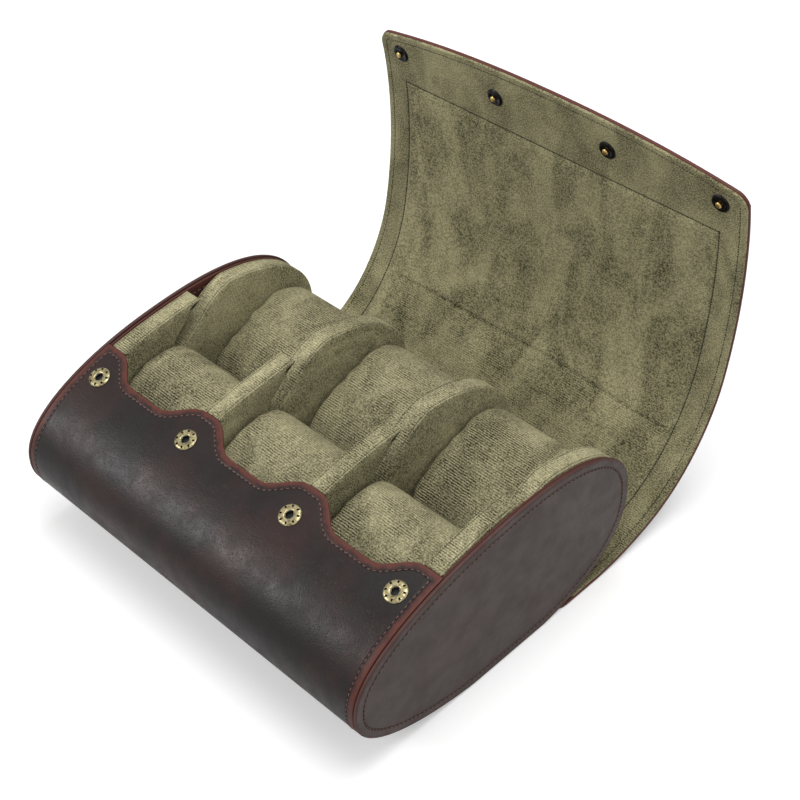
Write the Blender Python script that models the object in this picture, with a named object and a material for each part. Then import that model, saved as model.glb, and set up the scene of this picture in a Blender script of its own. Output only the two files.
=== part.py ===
"""Watch storage box: a leather case with two rows of cushions and a wrap-over lid, shown open.

Frame: X runs along the case, Y from its front to its back, +Z is up.
The origin lies on the flat of the base. All sizes are in metres.
"""
import math

import bmesh
import bpy
from mathutils import Matrix, Vector
from mathutils.geometry import intersect_line_line_2d

# Outline of the case, a swollen oval seen from its end
CASE_LENGTH = 0.250
HALF_DEPTH = 0.098
HALF_HEIGHT = 0.0496
BASE_SINK = 0.0011
MID_HEIGHT = HALF_HEIGHT - BASE_SINK
SQUARENESS = 2.27
BACK_SWELL = 0.13
BACK_RISE = 0.032
ARC_STEP = math.radians(5.0)

# Sheet thicknesses and the clearance between touching pieces
LEATHER = 0.0020
BOARD = 0.0015
SUEDE = 0.0012
GAP = 0.0003
END_FACING = 0.0015
CAP_FLANGE = LEATHER + GAP + END_FACING + GAP
WRAP_HALF = CASE_LENGTH / 2.0 - LEATHER - GAP
PAD_BASE = LEATHER + BOARD + SUEDE + 3.0 * GAP
CUT_REACH = 0.010

# Body wrap: the lip over the front, scalloped between its tabs, and the tail under the lid
LIP_PEAK_Y = -0.038
LIP_VALLEY_Y = -0.0505
TAB_FLAT = 0.005
TAB_REACH = 0.027
TAIL_FLAT_Y = 0.030
HINGE_Y = 0.061
LINING_TOP_Y = -0.066
TAIL_STEP_Y = 0.050
TAIL_STEP_RUN = 0.002
TAIL_SPREAD_Y = 0.052
LINING_SPREAD_Y = 0.056
LIP_STEPS = 96

# Padded dividers and end pads
DIVIDER_SHARE = 0.3092
DIVIDER_PITCH = DIVIDER_SHARE * CASE_LENGTH
FRONT_PAD = 0.0100
BACK_PAD = 0.0125
END_PAD = 0.0102
PAD_INSET = 0.0008
SPLIT_Y = -0.004
FRONT_PAD_END_Y = 0.016
LEDGE_Y = 0.0175
LEDGE_Z = MID_HEIGHT + 0.0383
LEDGE_FRONT_Z = MID_HEIGHT + 0.0311
BROW_Y = 0.038
BROW_LIFT = 0.0075
BROW_SLOPE = 0.25

# Cushions: squared ovals, tipped with the case
CUSHION_SIDE_GAP = 0.0008
FRONT_CUSHION_CENTRE = (-0.0405, MID_HEIGHT - 0.0045)
FRONT_CUSHION_HALF = (0.0515, 0.0263)
FRONT_CUSHION_TILT = math.radians(33.7)
BACK_CUSHION_CENTRE = (0.0553, MID_HEIGHT - 0.0075)
BACK_CUSHION_HALF = (0.0405, 0.0320)
BACK_CUSHION_TILT = math.radians(21.8)
CUSHION_SQUARENESS = 2.7
CUSHION_SIDES = 40
CUSHION_ROUND = 0.0060
SHOULDER_SHARE = 0.3
SHOULDER_FILL = 0.706

# Open lid: length and turn of each stretch, from the hinge to the free edge
LID_LENGTHS = (0.012, 0.050, 0.038, 0.056, 0.088, 0.048)
LID_TURNS = (0.0, 21.0, 27.0, 31.0, 18.0, 14.0)
LID_STEP = 0.0060
STRIP_LENGTHS = (0.044, 0.056)
PANEL_LENGTH = 0.134
FLAP_LENGTH = 0.060
CLOSING_TURNS = (29.5, 33.0, 32.5)
PRESS_TURN = 6.0
JOINT_GAP = 0.0005
FREE_EDGE_Z = 0.205
FREE_EDGE_CROWN = 0.007
CROWN_POWER = 2.2
FREE_EDGE_CORNER = 0.012

# Stiffened inner panel of the lid
PANEL_HALF_WIDTH = 0.1075
PANEL_BOARD = 0.0010
PANEL_EDGE = 0.0012
PANEL_END_MARGIN = 0.0030

# Press studs
SNAP_Y = -0.0555
SNAP_FROM_END = 0.01555
SOCKET_RADIUS = 0.0060
SOCKET_BORE = 0.0023
SOCKET_RISE = 0.0008
SOCKET_SEAT = 0.0002
POST_RADIUS = 0.0032
POST_LENGTH = 0.0016
POST_FLANGE = 0.0008
LIP_ROOM = LEATHER + POST_LENGTH + 2.0 * GAP
STUD_BASE_RADIUS = 0.0052
STUD_BASE_RISE = 0.0007
STUD_BALL_RADIUS = 0.0019
STUD_BALL_RISE = 0.0020
CAP_RADIUS = 0.0065
CAP_RISE = 0.0016
ROUND_SIDES = 24

LEATHER_BROWN = (0.045, 0.024, 0.018, 1.0)
LEATHER_RED = (0.14, 0.05, 0.035, 1.0)
BOARD_GREY = (0.25, 0.22, 0.18, 1.0)
SUEDE_OLIVE = (0.27, 0.24, 0.12, 1.0)
BRASS = (0.55, 0.45, 0.26, 1.0)
DARK_BRASS = (0.10, 0.08, 0.05, 1.0)


def clear_scene():
    for item in list(bpy.data.objects):
        bpy.data.objects.remove(item, do_unlink=True)


def material(name, colour, roughness, metallic=0.0):
    made = bpy.data.materials.new(name)
    made.use_nodes = True
    shader = made.node_tree.nodes["Principled BSDF"]
    shader.inputs["Base Color"].default_value = colour
    shader.inputs["Roughness"].default_value = roughness
    shader.inputs["Metallic"].default_value = metallic
    made.diffuse_color = colour
    return made


# Outline of the case

def signed_power(value, power):
    return math.copysign(abs(value) ** power, value)


def raw_outline(angle):
    """Point of the oval before its base is flattened: 0 is the back, a quarter turn the top."""
    y = HALF_DEPTH * signed_power(math.cos(angle), 2.0 / SQUARENESS)
    height = HALF_HEIGHT * (1.0 + BACK_SWELL * y / HALF_DEPTH)
    z = MID_HEIGHT + BACK_RISE * y + height * signed_power(math.sin(angle), 2.0 / SQUARENESS)
    return y, z


def outline_point(angle, inset):
    """Point of the oval moved inwards by inset, above the flat of the base."""
    step = 0.002
    before = raw_outline(angle - step)
    after = raw_outline(angle + step)
    run = (after[0] - before[0], after[1] - before[1])
    length = math.hypot(run[0], run[1])
    y, z = raw_outline(angle)
    y -= inset * run[1] / length
    z += inset * run[0] / length
    return y, max(z, inset)


def outline_arc(start, end, inset):
    count = max(2, round(abs(end - start) / ARC_STEP))
    return [outline_point(start + (end - start) * i / count, inset) for i in range(count + 1)]


def top_angle(y):
    return math.acos(max(-1.0, min(1.0, signed_power(y / HALF_DEPTH, SQUARENESS / 2.0))))


def base_angle(y):
    return 2.0 * math.pi - top_angle(y)


# Path of the open lid

def lid_point(distance, height):
    """Place on the open lid: distance from the hinge along its outside, height above it inwards."""
    y = HINGE_Y
    z = 0.0
    heading = 0.0
    left = distance
    for number, (length, turn) in enumerate(zip(LID_LENGTHS, LID_TURNS)):
        last = number == len(LID_LENGTHS) - 1
        run = left if last else min(left, length)
        bend = math.radians(turn) * run / length
        half = bend / 2.0
        chord = run * (math.sin(half) / half if abs(half) > 1e-9 else 1.0)
        y += chord * math.cos(heading + half)
        z += chord * math.sin(heading + half)
        heading += bend
        left -= run
        if left <= 0.0:
            break
    return y - height * math.sin(heading), z + height * math.cos(heading), heading


def lid_line(start, end, height):
    count = max(1, round((end - start) / LID_STEP))
    places = [lid_point(start + (end - start) * i / count, height) for i in range(count + 1)]
    return [(y, z) for y, z, heading in places]


def lid_profile(start, end, low, high):
    return lid_line(start, end, low) + lid_line(start, end, high)[::-1]


def turn_about(point, centre, angle):
    y = point[0] - centre[0]
    z = point[1] - centre[1]
    cosine = math.cos(angle)
    sine = math.sin(angle)
    return centre[0] + y * cosine - z * sine, centre[1] + y * sine + z * cosine


# Solids

def finish(name, mesh_data, colour, smooth=None):
    bmesh.ops.remove_doubles(mesh_data, verts=mesh_data.verts, dist=1e-6)
    bmesh.ops.recalc_face_normals(mesh_data, faces=mesh_data.faces)
    mesh = bpy.data.meshes.new(name)
    mesh_data.to_mesh(mesh)
    mesh_data.free()
    mesh.materials.append(colour)
    made = bpy.data.objects.new(name, mesh)
    bpy.context.scene.collection.objects.link(made)
    if smooth is not None:
        mesh.shade_smooth()
        mesh.set_sharp_from_angle(angle=smooth)
    return made


def prism(name, profile, low, high, colour, axis="x"):
    """Closed profile swept along X, along Y or along Z."""
    place = {
        "x": lambda a, b, c: (c, a, b),
        "y": lambda a, b, c: (a, c, b),
        "z": lambda a, b, c: (a, b, c),
    }[axis]
    shape = bmesh.new()
    near = [shape.verts.new(place(a, b, low)) for a, b in profile]
    far = [shape.verts.new(place(a, b, high)) for a, b in profile]
    shape.faces.new(near)
    shape.faces.new(far)
    for i in range(len(profile)):
        j = (i + 1) % len(profile)
        shape.faces.new((near[i], near[j], far[j], far[i]))
    return finish(name, shape, colour, smooth=math.radians(25.0))


def turned(name, profile, colour, place):
    """Solid of revolution about its own Z from (radius, height) pairs, then set in place."""
    shape = bmesh.new()
    rings = []
    for radius, height in profile:
        if radius < 1e-7:
            rings.append([shape.verts.new((0.0, 0.0, height))])
            continue
        ring = []
        for i in range(ROUND_SIDES):
            angle = 2.0 * math.pi * i / ROUND_SIDES
            ring.append(shape.verts.new((radius * math.cos(angle), radius * math.sin(angle), height)))
        rings.append(ring)
    pairs = list(zip(rings, rings[1:]))
    if len(rings[0]) > 1:
        pairs.append((rings[-1], rings[0]))
    for first, second in pairs:
        for i in range(ROUND_SIDES):
            j = (i + 1) % ROUND_SIDES
            corners = [first[i % len(first)], first[j % len(first)]]
            corners += [second[j % len(second)], second[i % len(second)]]
            unique = list(dict.fromkeys(corners))
            if len(unique) > 2:
                shape.faces.new(unique)
    made = finish(name, shape, colour, smooth=math.radians(40.0))
    made.matrix_world = place
    return made


def cut(target, cutters, operation="DIFFERENCE"):
    """Boolean with each cutter, made final in the target's own mesh."""
    for cutter in cutters:
        step = target.modifiers.new("cut", "BOOLEAN")
        step.operation = operation
        step.solver = "EXACT"
        step.object = cutter
    bpy.context.view_layer.update()
    graph = bpy.context.evaluated_depsgraph_get()
    result = bpy.data.meshes.new_from_object(target.evaluated_get(graph))
    target.modifiers.clear()
    old = target.data
    target.data = result
    result.name = target.name
    bpy.data.meshes.remove(old)
    for cutter in cutters:
        bpy.data.objects.remove(cutter, do_unlink=True)
    return target


# Body

def lip_edge(x):
    """Front edge of the wrap: tabs at the dividers and ends, shallow bays between them."""
    half = CASE_LENGTH / 2.0
    tabs = (DIVIDER_PITCH / 2.0, half - CAP_FLANGE - END_PAD / 2.0)
    away = min(abs(abs(x) - tab) for tab in tabs)
    share = max(0.0, min(1.0, (away - TAB_FLAT) / (TAB_REACH - TAB_FLAT)))
    return LIP_VALLEY_Y + (LIP_PEAK_Y - LIP_VALLEY_Y) * 0.5 * (1.0 + math.cos(math.pi * share))


def full_width_tail(low, high, start, half, colour):
    """The sheet behind the end caps, where it is as wide as the lid."""
    stop = HINGE_Y - JOINT_GAP / 2.0
    profile = [(start, low), (stop, low), (stop, high), (start, high)]
    return prism("tail", profile, -half, half, colour)


def body_wrap(colour):
    tail = HINGE_Y - JOINT_GAP / 2.0
    start = base_angle(TAIL_FLAT_Y)
    end = top_angle(LIP_PEAK_Y)
    outer = [(tail, 0.0)] + outline_arc(start, end, 0.0)
    inner = [(tail, LEATHER)] + outline_arc(start, end, LEATHER)
    wrap = prism("body_wrap", outer + inner[::-1], -WRAP_HALF, WRAP_HALF, colour)
    wide = WRAP_HALF + GAP
    xs = [wide * (2.0 * i / LIP_STEPS - 1.0) for i in range(LIP_STEPS + 1)]
    edge = [(x, lip_edge(x)) for x in xs]
    back = LIP_PEAK_Y + HALF_HEIGHT
    opening = edge + [(xs[-1], back), (xs[0], back)]
    low, high = MID_HEIGHT + HALF_HEIGHT / 2.0, MID_HEIGHT + 2.0 * HALF_HEIGHT
    bays = prism("bays", opening, low, high, colour, "z")
    holes = [socket_hole(x, colour) for x in snap_places()]
    cut(wrap, [bays] + holes)
    tail_end = full_width_tail(0.0, LEATHER, TAIL_SPREAD_Y, CASE_LENGTH / 2.0, colour)
    return cut(wrap, [tail_end], "UNION")


def body_board(colour):
    low = LEATHER + GAP
    high = low + BOARD
    start = base_angle(TAIL_FLAT_Y)
    end = top_angle(LINING_TOP_Y)
    tail = TAIL_STEP_Y - TAIL_STEP_RUN
    outer = [(tail, low)] + outline_arc(start, end, low)
    inner = [(tail, high)] + outline_arc(start, end, high)
    half = CASE_LENGTH / 2.0 - CAP_FLANGE
    return prism("body_board", outer + inner[::-1], -half, half, colour)


def body_lining(colour):
    low = LEATHER + BOARD + 2.0 * GAP
    high = low + SUEDE
    drop = BOARD + GAP
    start = base_angle(TAIL_FLAT_Y)
    end = top_angle(LINING_TOP_Y)
    tail = HINGE_Y - JOINT_GAP / 2.0
    foot = TAIL_STEP_Y + TAIL_STEP_RUN
    outer = [(tail, low - drop), (foot, low - drop), (TAIL_STEP_Y, low)]
    inner = [(tail, high - drop), (foot, high - drop), (TAIL_STEP_Y, high)]
    outer += outline_arc(start, end, low)
    inner += outline_arc(start, end, high)
    half = CASE_LENGTH / 2.0 - CAP_FLANGE
    lining = prism("body_lining", outer + inner[::-1], -half, half, colour)
    wide = CASE_LENGTH / 2.0 - GAP
    tail_end = full_width_tail(low - drop, high - drop, LINING_SPREAD_Y, wide, colour)
    return cut(lining, [tail_end], "UNION")


def end_cap(side, name, colour):
    profile = outline_arc(0.0, 2.0 * math.pi, 0.0)[:-1]
    outer = side * CASE_LENGTH / 2.0
    inner = side * (CASE_LENGTH / 2.0 - LEATHER)
    return prism(name, profile, min(inner, outer), max(inner, outer), colour)


def end_facing(side, name, colour):
    """Inner leather of the end: inside the wrap below the lip, out to the edge above it."""
    lip = top_angle(LIP_PEAK_Y + GAP)
    wide = outline_arc(base_angle(HINGE_Y) - 2.0 * math.pi, lip, PAD_INSET)
    narrow = outline_arc(lip, base_angle(TAIL_STEP_Y), LEATHER + GAP)
    outer = side * (CASE_LENGTH / 2.0 - LEATHER - GAP)
    inner = outer - side * END_FACING
    return prism(name, wide + narrow, min(inner, outer), max(inner, outer), colour)


# Pads

def front_pad_profile():
    split = SPLIT_Y - 2.0 * GAP
    lower = outline_arc(base_angle(split), top_angle(LINING_TOP_Y + GAP), PAD_BASE)
    under_lip = outline_arc(top_angle(LINING_TOP_Y + GAP), top_angle(LIP_PEAK_Y + GAP), LIP_ROOM)
    upper = outline_arc(top_angle(LIP_PEAK_Y + GAP), top_angle(FRONT_PAD_END_Y), PAD_INSET)
    slope = (LEDGE_Z - LEDGE_FRONT_Z) / (LEDGE_Y - SPLIT_Y)
    lift = 2.0 * GAP
    seat_back = (FRONT_PAD_END_Y, LEDGE_Z - slope * (LEDGE_Y - FRONT_PAD_END_Y) + lift)
    seat_front = (split, LEDGE_FRONT_Z - slope * (SPLIT_Y - split) + lift)
    return lower + under_lip + upper + [seat_back, seat_front]


def back_pad_profile():
    foot_y = HINGE_Y
    upper = outline_arc(base_angle(foot_y) - 2.0 * math.pi, top_angle(BROW_Y), PAD_INSET)
    upper = [(y, z) for y, z in upper if z > PAD_BASE or y > foot_y]
    brow = upper[-1]
    bend = (LEDGE_Y + BROW_LIFT, brow[1] - (brow[0] - LEDGE_Y - BROW_LIFT) * BROW_SLOPE)
    curve = []
    steps = 6
    for i in range(1, steps + 1):
        t = i / steps
        weights = ((1.0 - t) ** 2, 2.0 * t * (1.0 - t), t * t)
        corners = (brow, bend, (LEDGE_Y, LEDGE_Z))
        curve.append(tuple(sum(w * c[k] for w, c in zip(weights, corners)) for k in (0, 1)))
    front = [(SPLIT_Y, LEDGE_FRONT_Z), (SPLIT_Y, PAD_BASE), (TAIL_STEP_Y, PAD_BASE)]
    return upper + curve + front


def pads(colour):
    half = CASE_LENGTH / 2.0 - CAP_FLANGE
    front = front_pad_profile()
    back = back_pad_profile()
    for side, word in ((-1.0, "left"), (1.0, "right")):
        outer = side * half
        inner = outer - side * END_PAD
        prism("end_pad_front_" + word, front, min(inner, outer), max(inner, outer), colour)
        prism("end_pad_back_" + word, back, min(inner, outer), max(inner, outer), colour)
        centre = side * DIVIDER_PITCH / 2.0
        prism("divider_front_" + word, front, centre - FRONT_PAD / 2.0, centre + FRONT_PAD / 2.0, colour)
        prism("divider_back_" + word, back, centre - BACK_PAD / 2.0, centre + BACK_PAD / 2.0, colour)


# Cushions

def room():
    """Outline that the cushions fill: the lining in front and below, the oval behind."""
    lined = outline_arc(top_angle(LINING_TOP_Y), base_angle(0.0), PAD_BASE)
    behind = outline_arc(base_angle(HINGE_Y), 2.0 * math.pi, PAD_INSET)
    behind = [(y, max(z, PAD_BASE)) for y, z in behind]
    over = outline_arc(0.0, top_angle(LINING_TOP_Y), LIP_ROOM)
    return [Vector(place) for place in lined + behind + over[1:]]


def squeezed(centre, point, walls):
    """The point, drawn towards the centre until it touches the walls from inside."""
    middle = Vector(centre)
    best = Vector(point)
    for first, second in zip(walls, walls[1:] + walls[:1]):
        hit = intersect_line_line_2d(middle, best, first, second)
        if hit is not None:
            best = hit
    return best.x, best.y


def cushion_profile(centre, half, tilt):
    walls = room()
    points = []
    for i in range(CUSHION_SIDES):
        angle = 2.0 * math.pi * i / CUSHION_SIDES
        along = half[0] * signed_power(math.cos(angle), 2.0 / CUSHION_SQUARENESS)
        up = half[1] * signed_power(math.sin(angle), 2.0 / CUSHION_SQUARENESS)
        point = turn_about((centre[0] + along, centre[1] + up), centre, tilt)
        points.append(squeezed(centre, point, walls))
    return points


def cushion(name, shape_values, low, high, colour):
    """Oval roll whose rim is drawn in towards each end."""
    centre, half, tilt = shape_values
    outer = cushion_profile(centre, half, tilt)
    draw = 1.0 - CUSHION_ROUND / half[0]
    shrunk = [(centre[0] + (y - centre[0]) * draw, centre[1] + (z - centre[1]) * draw) for y, z in outer]
    fill = SHOULDER_FILL
    shoulder = SHOULDER_SHARE * CUSHION_ROUND
    mid = [(a[0] + (b[0] - a[0]) * fill, a[1] + (b[1] - a[1]) * fill) for a, b in zip(shrunk, outer)]
    stations = (
        (low, shrunk),
        (low + shoulder, mid),
        (low + CUSHION_ROUND, outer),
        (high - CUSHION_ROUND, outer),
        (high - shoulder, mid),
        (high, shrunk),
    )
    shape = bmesh.new()
    rings = [[shape.verts.new((x, y, z)) for y, z in ring] for x, ring in stations]
    shape.faces.new(rings[0])
    shape.faces.new(rings[-1])
    for first, second in zip(rings, rings[1:]):
        for i in range(CUSHION_SIDES):
            j = (i + 1) % CUSHION_SIDES
            shape.faces.new((first[i], first[j], second[j], second[i]))
    return finish(name, shape, colour, smooth=math.radians(50.0))


def cushions(colour):
    wall = CASE_LENGTH / 2.0 - CAP_FLANGE - END_PAD
    rows = (
        ("front", (FRONT_CUSHION_CENTRE, FRONT_CUSHION_HALF, FRONT_CUSHION_TILT)),
        ("back", (BACK_CUSHION_CENTRE, BACK_CUSHION_HALF, BACK_CUSHION_TILT)),
    )
    thickest = max(FRONT_PAD, BACK_PAD) / 2.0
    inner = DIVIDER_PITCH / 2.0 - thickest - CUSHION_SIDE_GAP
    outer = DIVIDER_PITCH / 2.0 + thickest + CUSHION_SIDE_GAP
    end = wall - CUSHION_SIDE_GAP
    for row, values in rows:
        cushion("cushion_" + row + "_left", values, -end, -outer, colour)
        cushion("cushion_" + row + "_middle", values, -inner, inner, colour)
        cushion("cushion_" + row + "_right", values, outer, end, colour)


# Press studs

def snap_places():
    inner = DIVIDER_PITCH / 2.0
    outer = CASE_LENGTH / 2.0 - SNAP_FROM_END
    return (-outer, -inner, inner, outer)


def snap_frame(x):
    """Place on the wrap's outside with its Z along the outward normal."""
    angle = top_angle(SNAP_Y)
    y, z = outline_point(angle, 0.0)
    deeper = outline_point(angle, LEATHER)
    normal = Vector((0.0, y - deeper[0], z - deeper[1])).normalized()
    return Matrix.LocRotScale(Vector((x, y, z)), normal.to_track_quat("Z", "Y"), None)


def socket_hole(x, colour):
    reach = CUT_REACH / 2.0
    profile = ((0.0, -reach), (POST_RADIUS + GAP, -reach), (POST_RADIUS + GAP, reach), (0.0, reach))
    return turned("hole", profile, colour, snap_frame(x))


def sockets(face_colour, post_colour):
    rim = SOCKET_SEAT + SOCKET_RISE
    for number, x in enumerate(snap_places(), 1):
        face = (
            (SOCKET_BORE, SOCKET_SEAT),
            (SOCKET_RADIUS, SOCKET_SEAT),
            (SOCKET_RADIUS, SOCKET_SEAT + 0.4 * SOCKET_RISE),
            (0.85 * SOCKET_RADIUS, rim),
            (SOCKET_BORE + 0.0006, rim),
            (SOCKET_BORE, SOCKET_SEAT + 0.5 * SOCKET_RISE),
        )
        turned(f"socket_{number}", face, face_colour, snap_frame(x))
        bottom = -LEATHER - POST_LENGTH
        post = (
            (0.0, bottom),
            (SOCKET_RADIUS, bottom),
            (SOCKET_RADIUS, -LEATHER - GAP),
            (POST_RADIUS, -LEATHER - GAP),
            (POST_RADIUS, -GAP),
            (SOCKET_BORE, -GAP),
            (SOCKET_BORE, bottom + POST_FLANGE),
            (0.0, bottom + POST_FLANGE),
        )
        turned(f"socket_post_{number}", post, post_colour, snap_frame(x))


# Lid

def hinge_places():
    """Distance along the lid of each bend: the hinge, two strip bends and the press flap."""
    first = 0.0
    second = first + STRIP_LENGTHS[0]
    third = second + STRIP_LENGTHS[1]
    return first, second, third, third + PANEL_LENGTH


def hinge_centre(distance):
    y, z, heading = lid_point(distance, LEATHER + GAP + SUEDE)
    return y, z


def carried_open(point):
    """Where a point of the closed lid lies once the flap, the lid and its strips are swung open."""
    for distance, turn in zip(hinge_places(), CLOSING_TURNS + (PRESS_TURN,)):
        point = turn_about(point, hinge_centre(distance), -math.radians(turn))
    return point


def stud_seat(x):
    """Frame on the flap's inside that meets the socket when the lid is pressed shut."""
    socket = snap_frame(x).translation
    foot = carried_open((socket.y, socket.z))
    start = hinge_places()[-1]
    steps = 600
    best = None
    for i in range(steps + 1):
        y, z, heading = lid_point(start + FLAP_LENGTH * i / steps, LEATHER + GAP + SUEDE)
        away = math.hypot(y - foot[0], z - foot[1])
        if best is None or away < best[0]:
            best = (away, y, z, heading)
    away, y, z, heading = best
    inward = Vector((0.0, -math.sin(heading), math.cos(heading)))
    return Matrix.LocRotScale(Vector((x, y, z)), inward.to_track_quat("Z", "Y"), None)


def lid_sheets(leather, suede):
    first, second, third, fourth = hinge_places()
    spans = (
        ("lid_strip_1", first, second),
        ("lid_strip_2", second, third),
        ("lid", third, fourth),
        ("lid_flap", fourth, fourth + FLAP_LENGTH),
    )
    half = CASE_LENGTH / 2.0
    low = LEATHER + GAP
    made = {}
    for name, start, end in spans:
        begin = start + JOINT_GAP / 2.0
        stop = end - JOINT_GAP / 2.0
        outer = lid_profile(begin, stop, 0.0, LEATHER)
        made[name + "_leather"] = prism(name + "_leather", outer, -half, half, leather)
        inner = lid_profile(begin, stop, low, low + SUEDE)
        trim = half - GAP
        made[name + "_lining"] = prism(name + "_lining", inner, -trim, trim, suede)
    return made


def panel_insert(made, board, suede):
    """Stiff board under the lid's raised inner panel, in a pocket of the lining."""
    first, second, third, fourth = hinge_places()
    start = third + PANEL_END_MARGIN
    end = fourth - PANEL_END_MARGIN
    low = LEATHER + GAP
    wall = PANEL_EDGE + GAP
    top = low + PANEL_BOARD
    raised = lid_profile(start, end, low, top + GAP + SUEDE)
    pad = prism("pad", raised, -PANEL_HALF_WIDTH, PANEL_HALF_WIDTH, suede)
    cut(made["lid_lining"], [pad], "UNION")
    pocket = lid_profile(start + PANEL_EDGE, end - PANEL_EDGE, low - GAP, top + GAP)
    inside = PANEL_HALF_WIDTH - PANEL_EDGE
    cut(made["lid_lining"], [prism("pocket", pocket, -inside, inside, suede)])
    core = lid_profile(start + wall, end - wall, low, top)
    prism("lid_board", core, -PANEL_HALF_WIDTH + wall, PANEL_HALF_WIDTH - wall, board)


def free_edge(colour, trim):
    """Cutter above the lid's crowned free edge with its rounded corners."""
    half = CASE_LENGTH / 2.0 - trim
    corner = FREE_EDGE_CORNER
    steps = 64
    points = []
    for i in range(steps + 1):
        x = half * math.sin(math.pi * (i / steps - 0.5))
        over = max(0.0, abs(x) - half + corner)
        drop = corner - math.sqrt(max(0.0, corner * corner - over * over))
        crown = FREE_EDGE_CROWN * abs(x / half) ** CROWN_POWER
        points.append((x, FREE_EDGE_Z - trim - crown - drop))
    top = FREE_EDGE_Z + FLAP_LENGTH
    wide = half + corner
    points = [(-wide, points[0][1])] + points + [(wide, points[-1][1]), (wide, top), (-wide, top)]
    return prism("edge", points, HINGE_Y, HINGE_Y + 2.0 * HALF_DEPTH, colour, "y")


def stud_hole(x, colour):
    reach = CUT_REACH
    radius = STUD_BALL_RADIUS + GAP
    profile = ((0.0, -reach), (radius, -reach), (radius, reach), (0.0, reach))
    return turned("hole", profile, colour, stud_seat(x))


def studs(made, ball_colour, cap_colour):
    places = snap_places()
    for name in ("lid_flap_leather", "lid_flap_lining"):
        cut(made[name], [stud_hole(x, ball_colour) for x in places])
    shank = LEATHER + 2.0 * GAP + SUEDE
    ring = GAP + STUD_BASE_RISE
    base = -shank - GAP
    for number, x in enumerate(places, 1):
        seat = stud_seat(x)
        stud = (
            (0.0, -shank),
            (STUD_BALL_RADIUS, -shank),
            (STUD_BALL_RADIUS, GAP),
            (STUD_BASE_RADIUS, GAP),
            (STUD_BASE_RADIUS, GAP + 0.5 * STUD_BASE_RISE),
            (0.8 * STUD_BASE_RADIUS, ring),
            (0.8 * STUD_BALL_RADIUS, ring),
            (STUD_BALL_RADIUS, ring + 0.5 * STUD_BALL_RISE),
            (0.6 * STUD_BALL_RADIUS, ring + STUD_BALL_RISE),
            (0.0, ring + STUD_BALL_RISE),
        )
        turned(f"stud_{number}", stud, ball_colour, seat)
        cap = (
            (0.0, base),
            (CAP_RADIUS, base),
            (CAP_RADIUS, base - 0.4 * CAP_RISE),
            (0.75 * CAP_RADIUS, base - 0.8 * CAP_RISE),
            (0.4 * CAP_RADIUS, base - CAP_RISE),
            (0.0, base - CAP_RISE),
        )
        turned(f"stud_cap_{number}", cap, cap_colour, seat)


def hang_on_axes():
    """Chain of empties on the lid's bend lines, each carrying the pieces that turn about it."""
    chain = (
        ("strip_1_axis", ("lid_strip_1_",)),
        ("strip_2_axis", ("lid_strip_2_",)),
        ("lid_axis", ("lid_leather", "lid_lining", "lid_board")),
        ("flap_axis", ("lid_flap_", "stud_")),
    )
    pieces = [item for item in bpy.data.objects if item.type == "MESH"]
    above = None
    for (name, starts), distance in zip(chain, hinge_places()):
        axis = bpy.data.objects.new(name, None)
        bpy.context.scene.collection.objects.link(axis)
        y, z = hinge_centre(distance)
        axis.matrix_world = Matrix.Translation((0.0, y, z))
        bpy.context.view_layer.update()
        if above is not None:
            axis.parent = above
            axis.matrix_parent_inverse = above.matrix_world.inverted()
        for piece in pieces:
            if piece.name.startswith(starts):
                piece.parent = axis
                piece.matrix_parent_inverse = axis.matrix_world.inverted()
        above = axis


def main():
    clear_scene()
    leather = material("leather", LEATHER_BROWN, 0.45)
    inner_leather = material("inner_leather", LEATHER_RED, 0.6)
    board = material("board", BOARD_GREY, 0.9)
    suede = material("suede", SUEDE_OLIVE, 0.95)
    brass = material("brass", BRASS, 0.35, 1.0)
    dark_brass = material("dark_brass", DARK_BRASS, 0.4, 1.0)
    body_wrap(leather)
    body_board(board)
    body_lining(suede)
    end_cap(-1.0, "end_cap_left", leather)
    end_cap(1.0, "end_cap_right", leather)
    end_facing(-1.0, "end_facing_left", inner_leather)
    end_facing(1.0, "end_facing_right", inner_leather)
    pads(suede)
    cushions(suede)
    sockets(brass, dark_brass)
    made = lid_sheets(leather, suede)
    panel_insert(made, board, suede)
    for name, trim in (("lid_flap_leather", 0.0), ("lid_flap_lining", GAP)):
        cut(made[name], [free_edge(leather, trim)])
    studs(made, dark_brass, brass)
    hang_on_axes()


main()
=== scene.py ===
"""Looks of a watch storage box: an oval leather case with padded suede dividers, six cushions
and a wrap-over lid, standing open on a white studio floor."""
import math

import bmesh
import bpy
import numpy as np
from mathutils import Matrix, Vector


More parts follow.
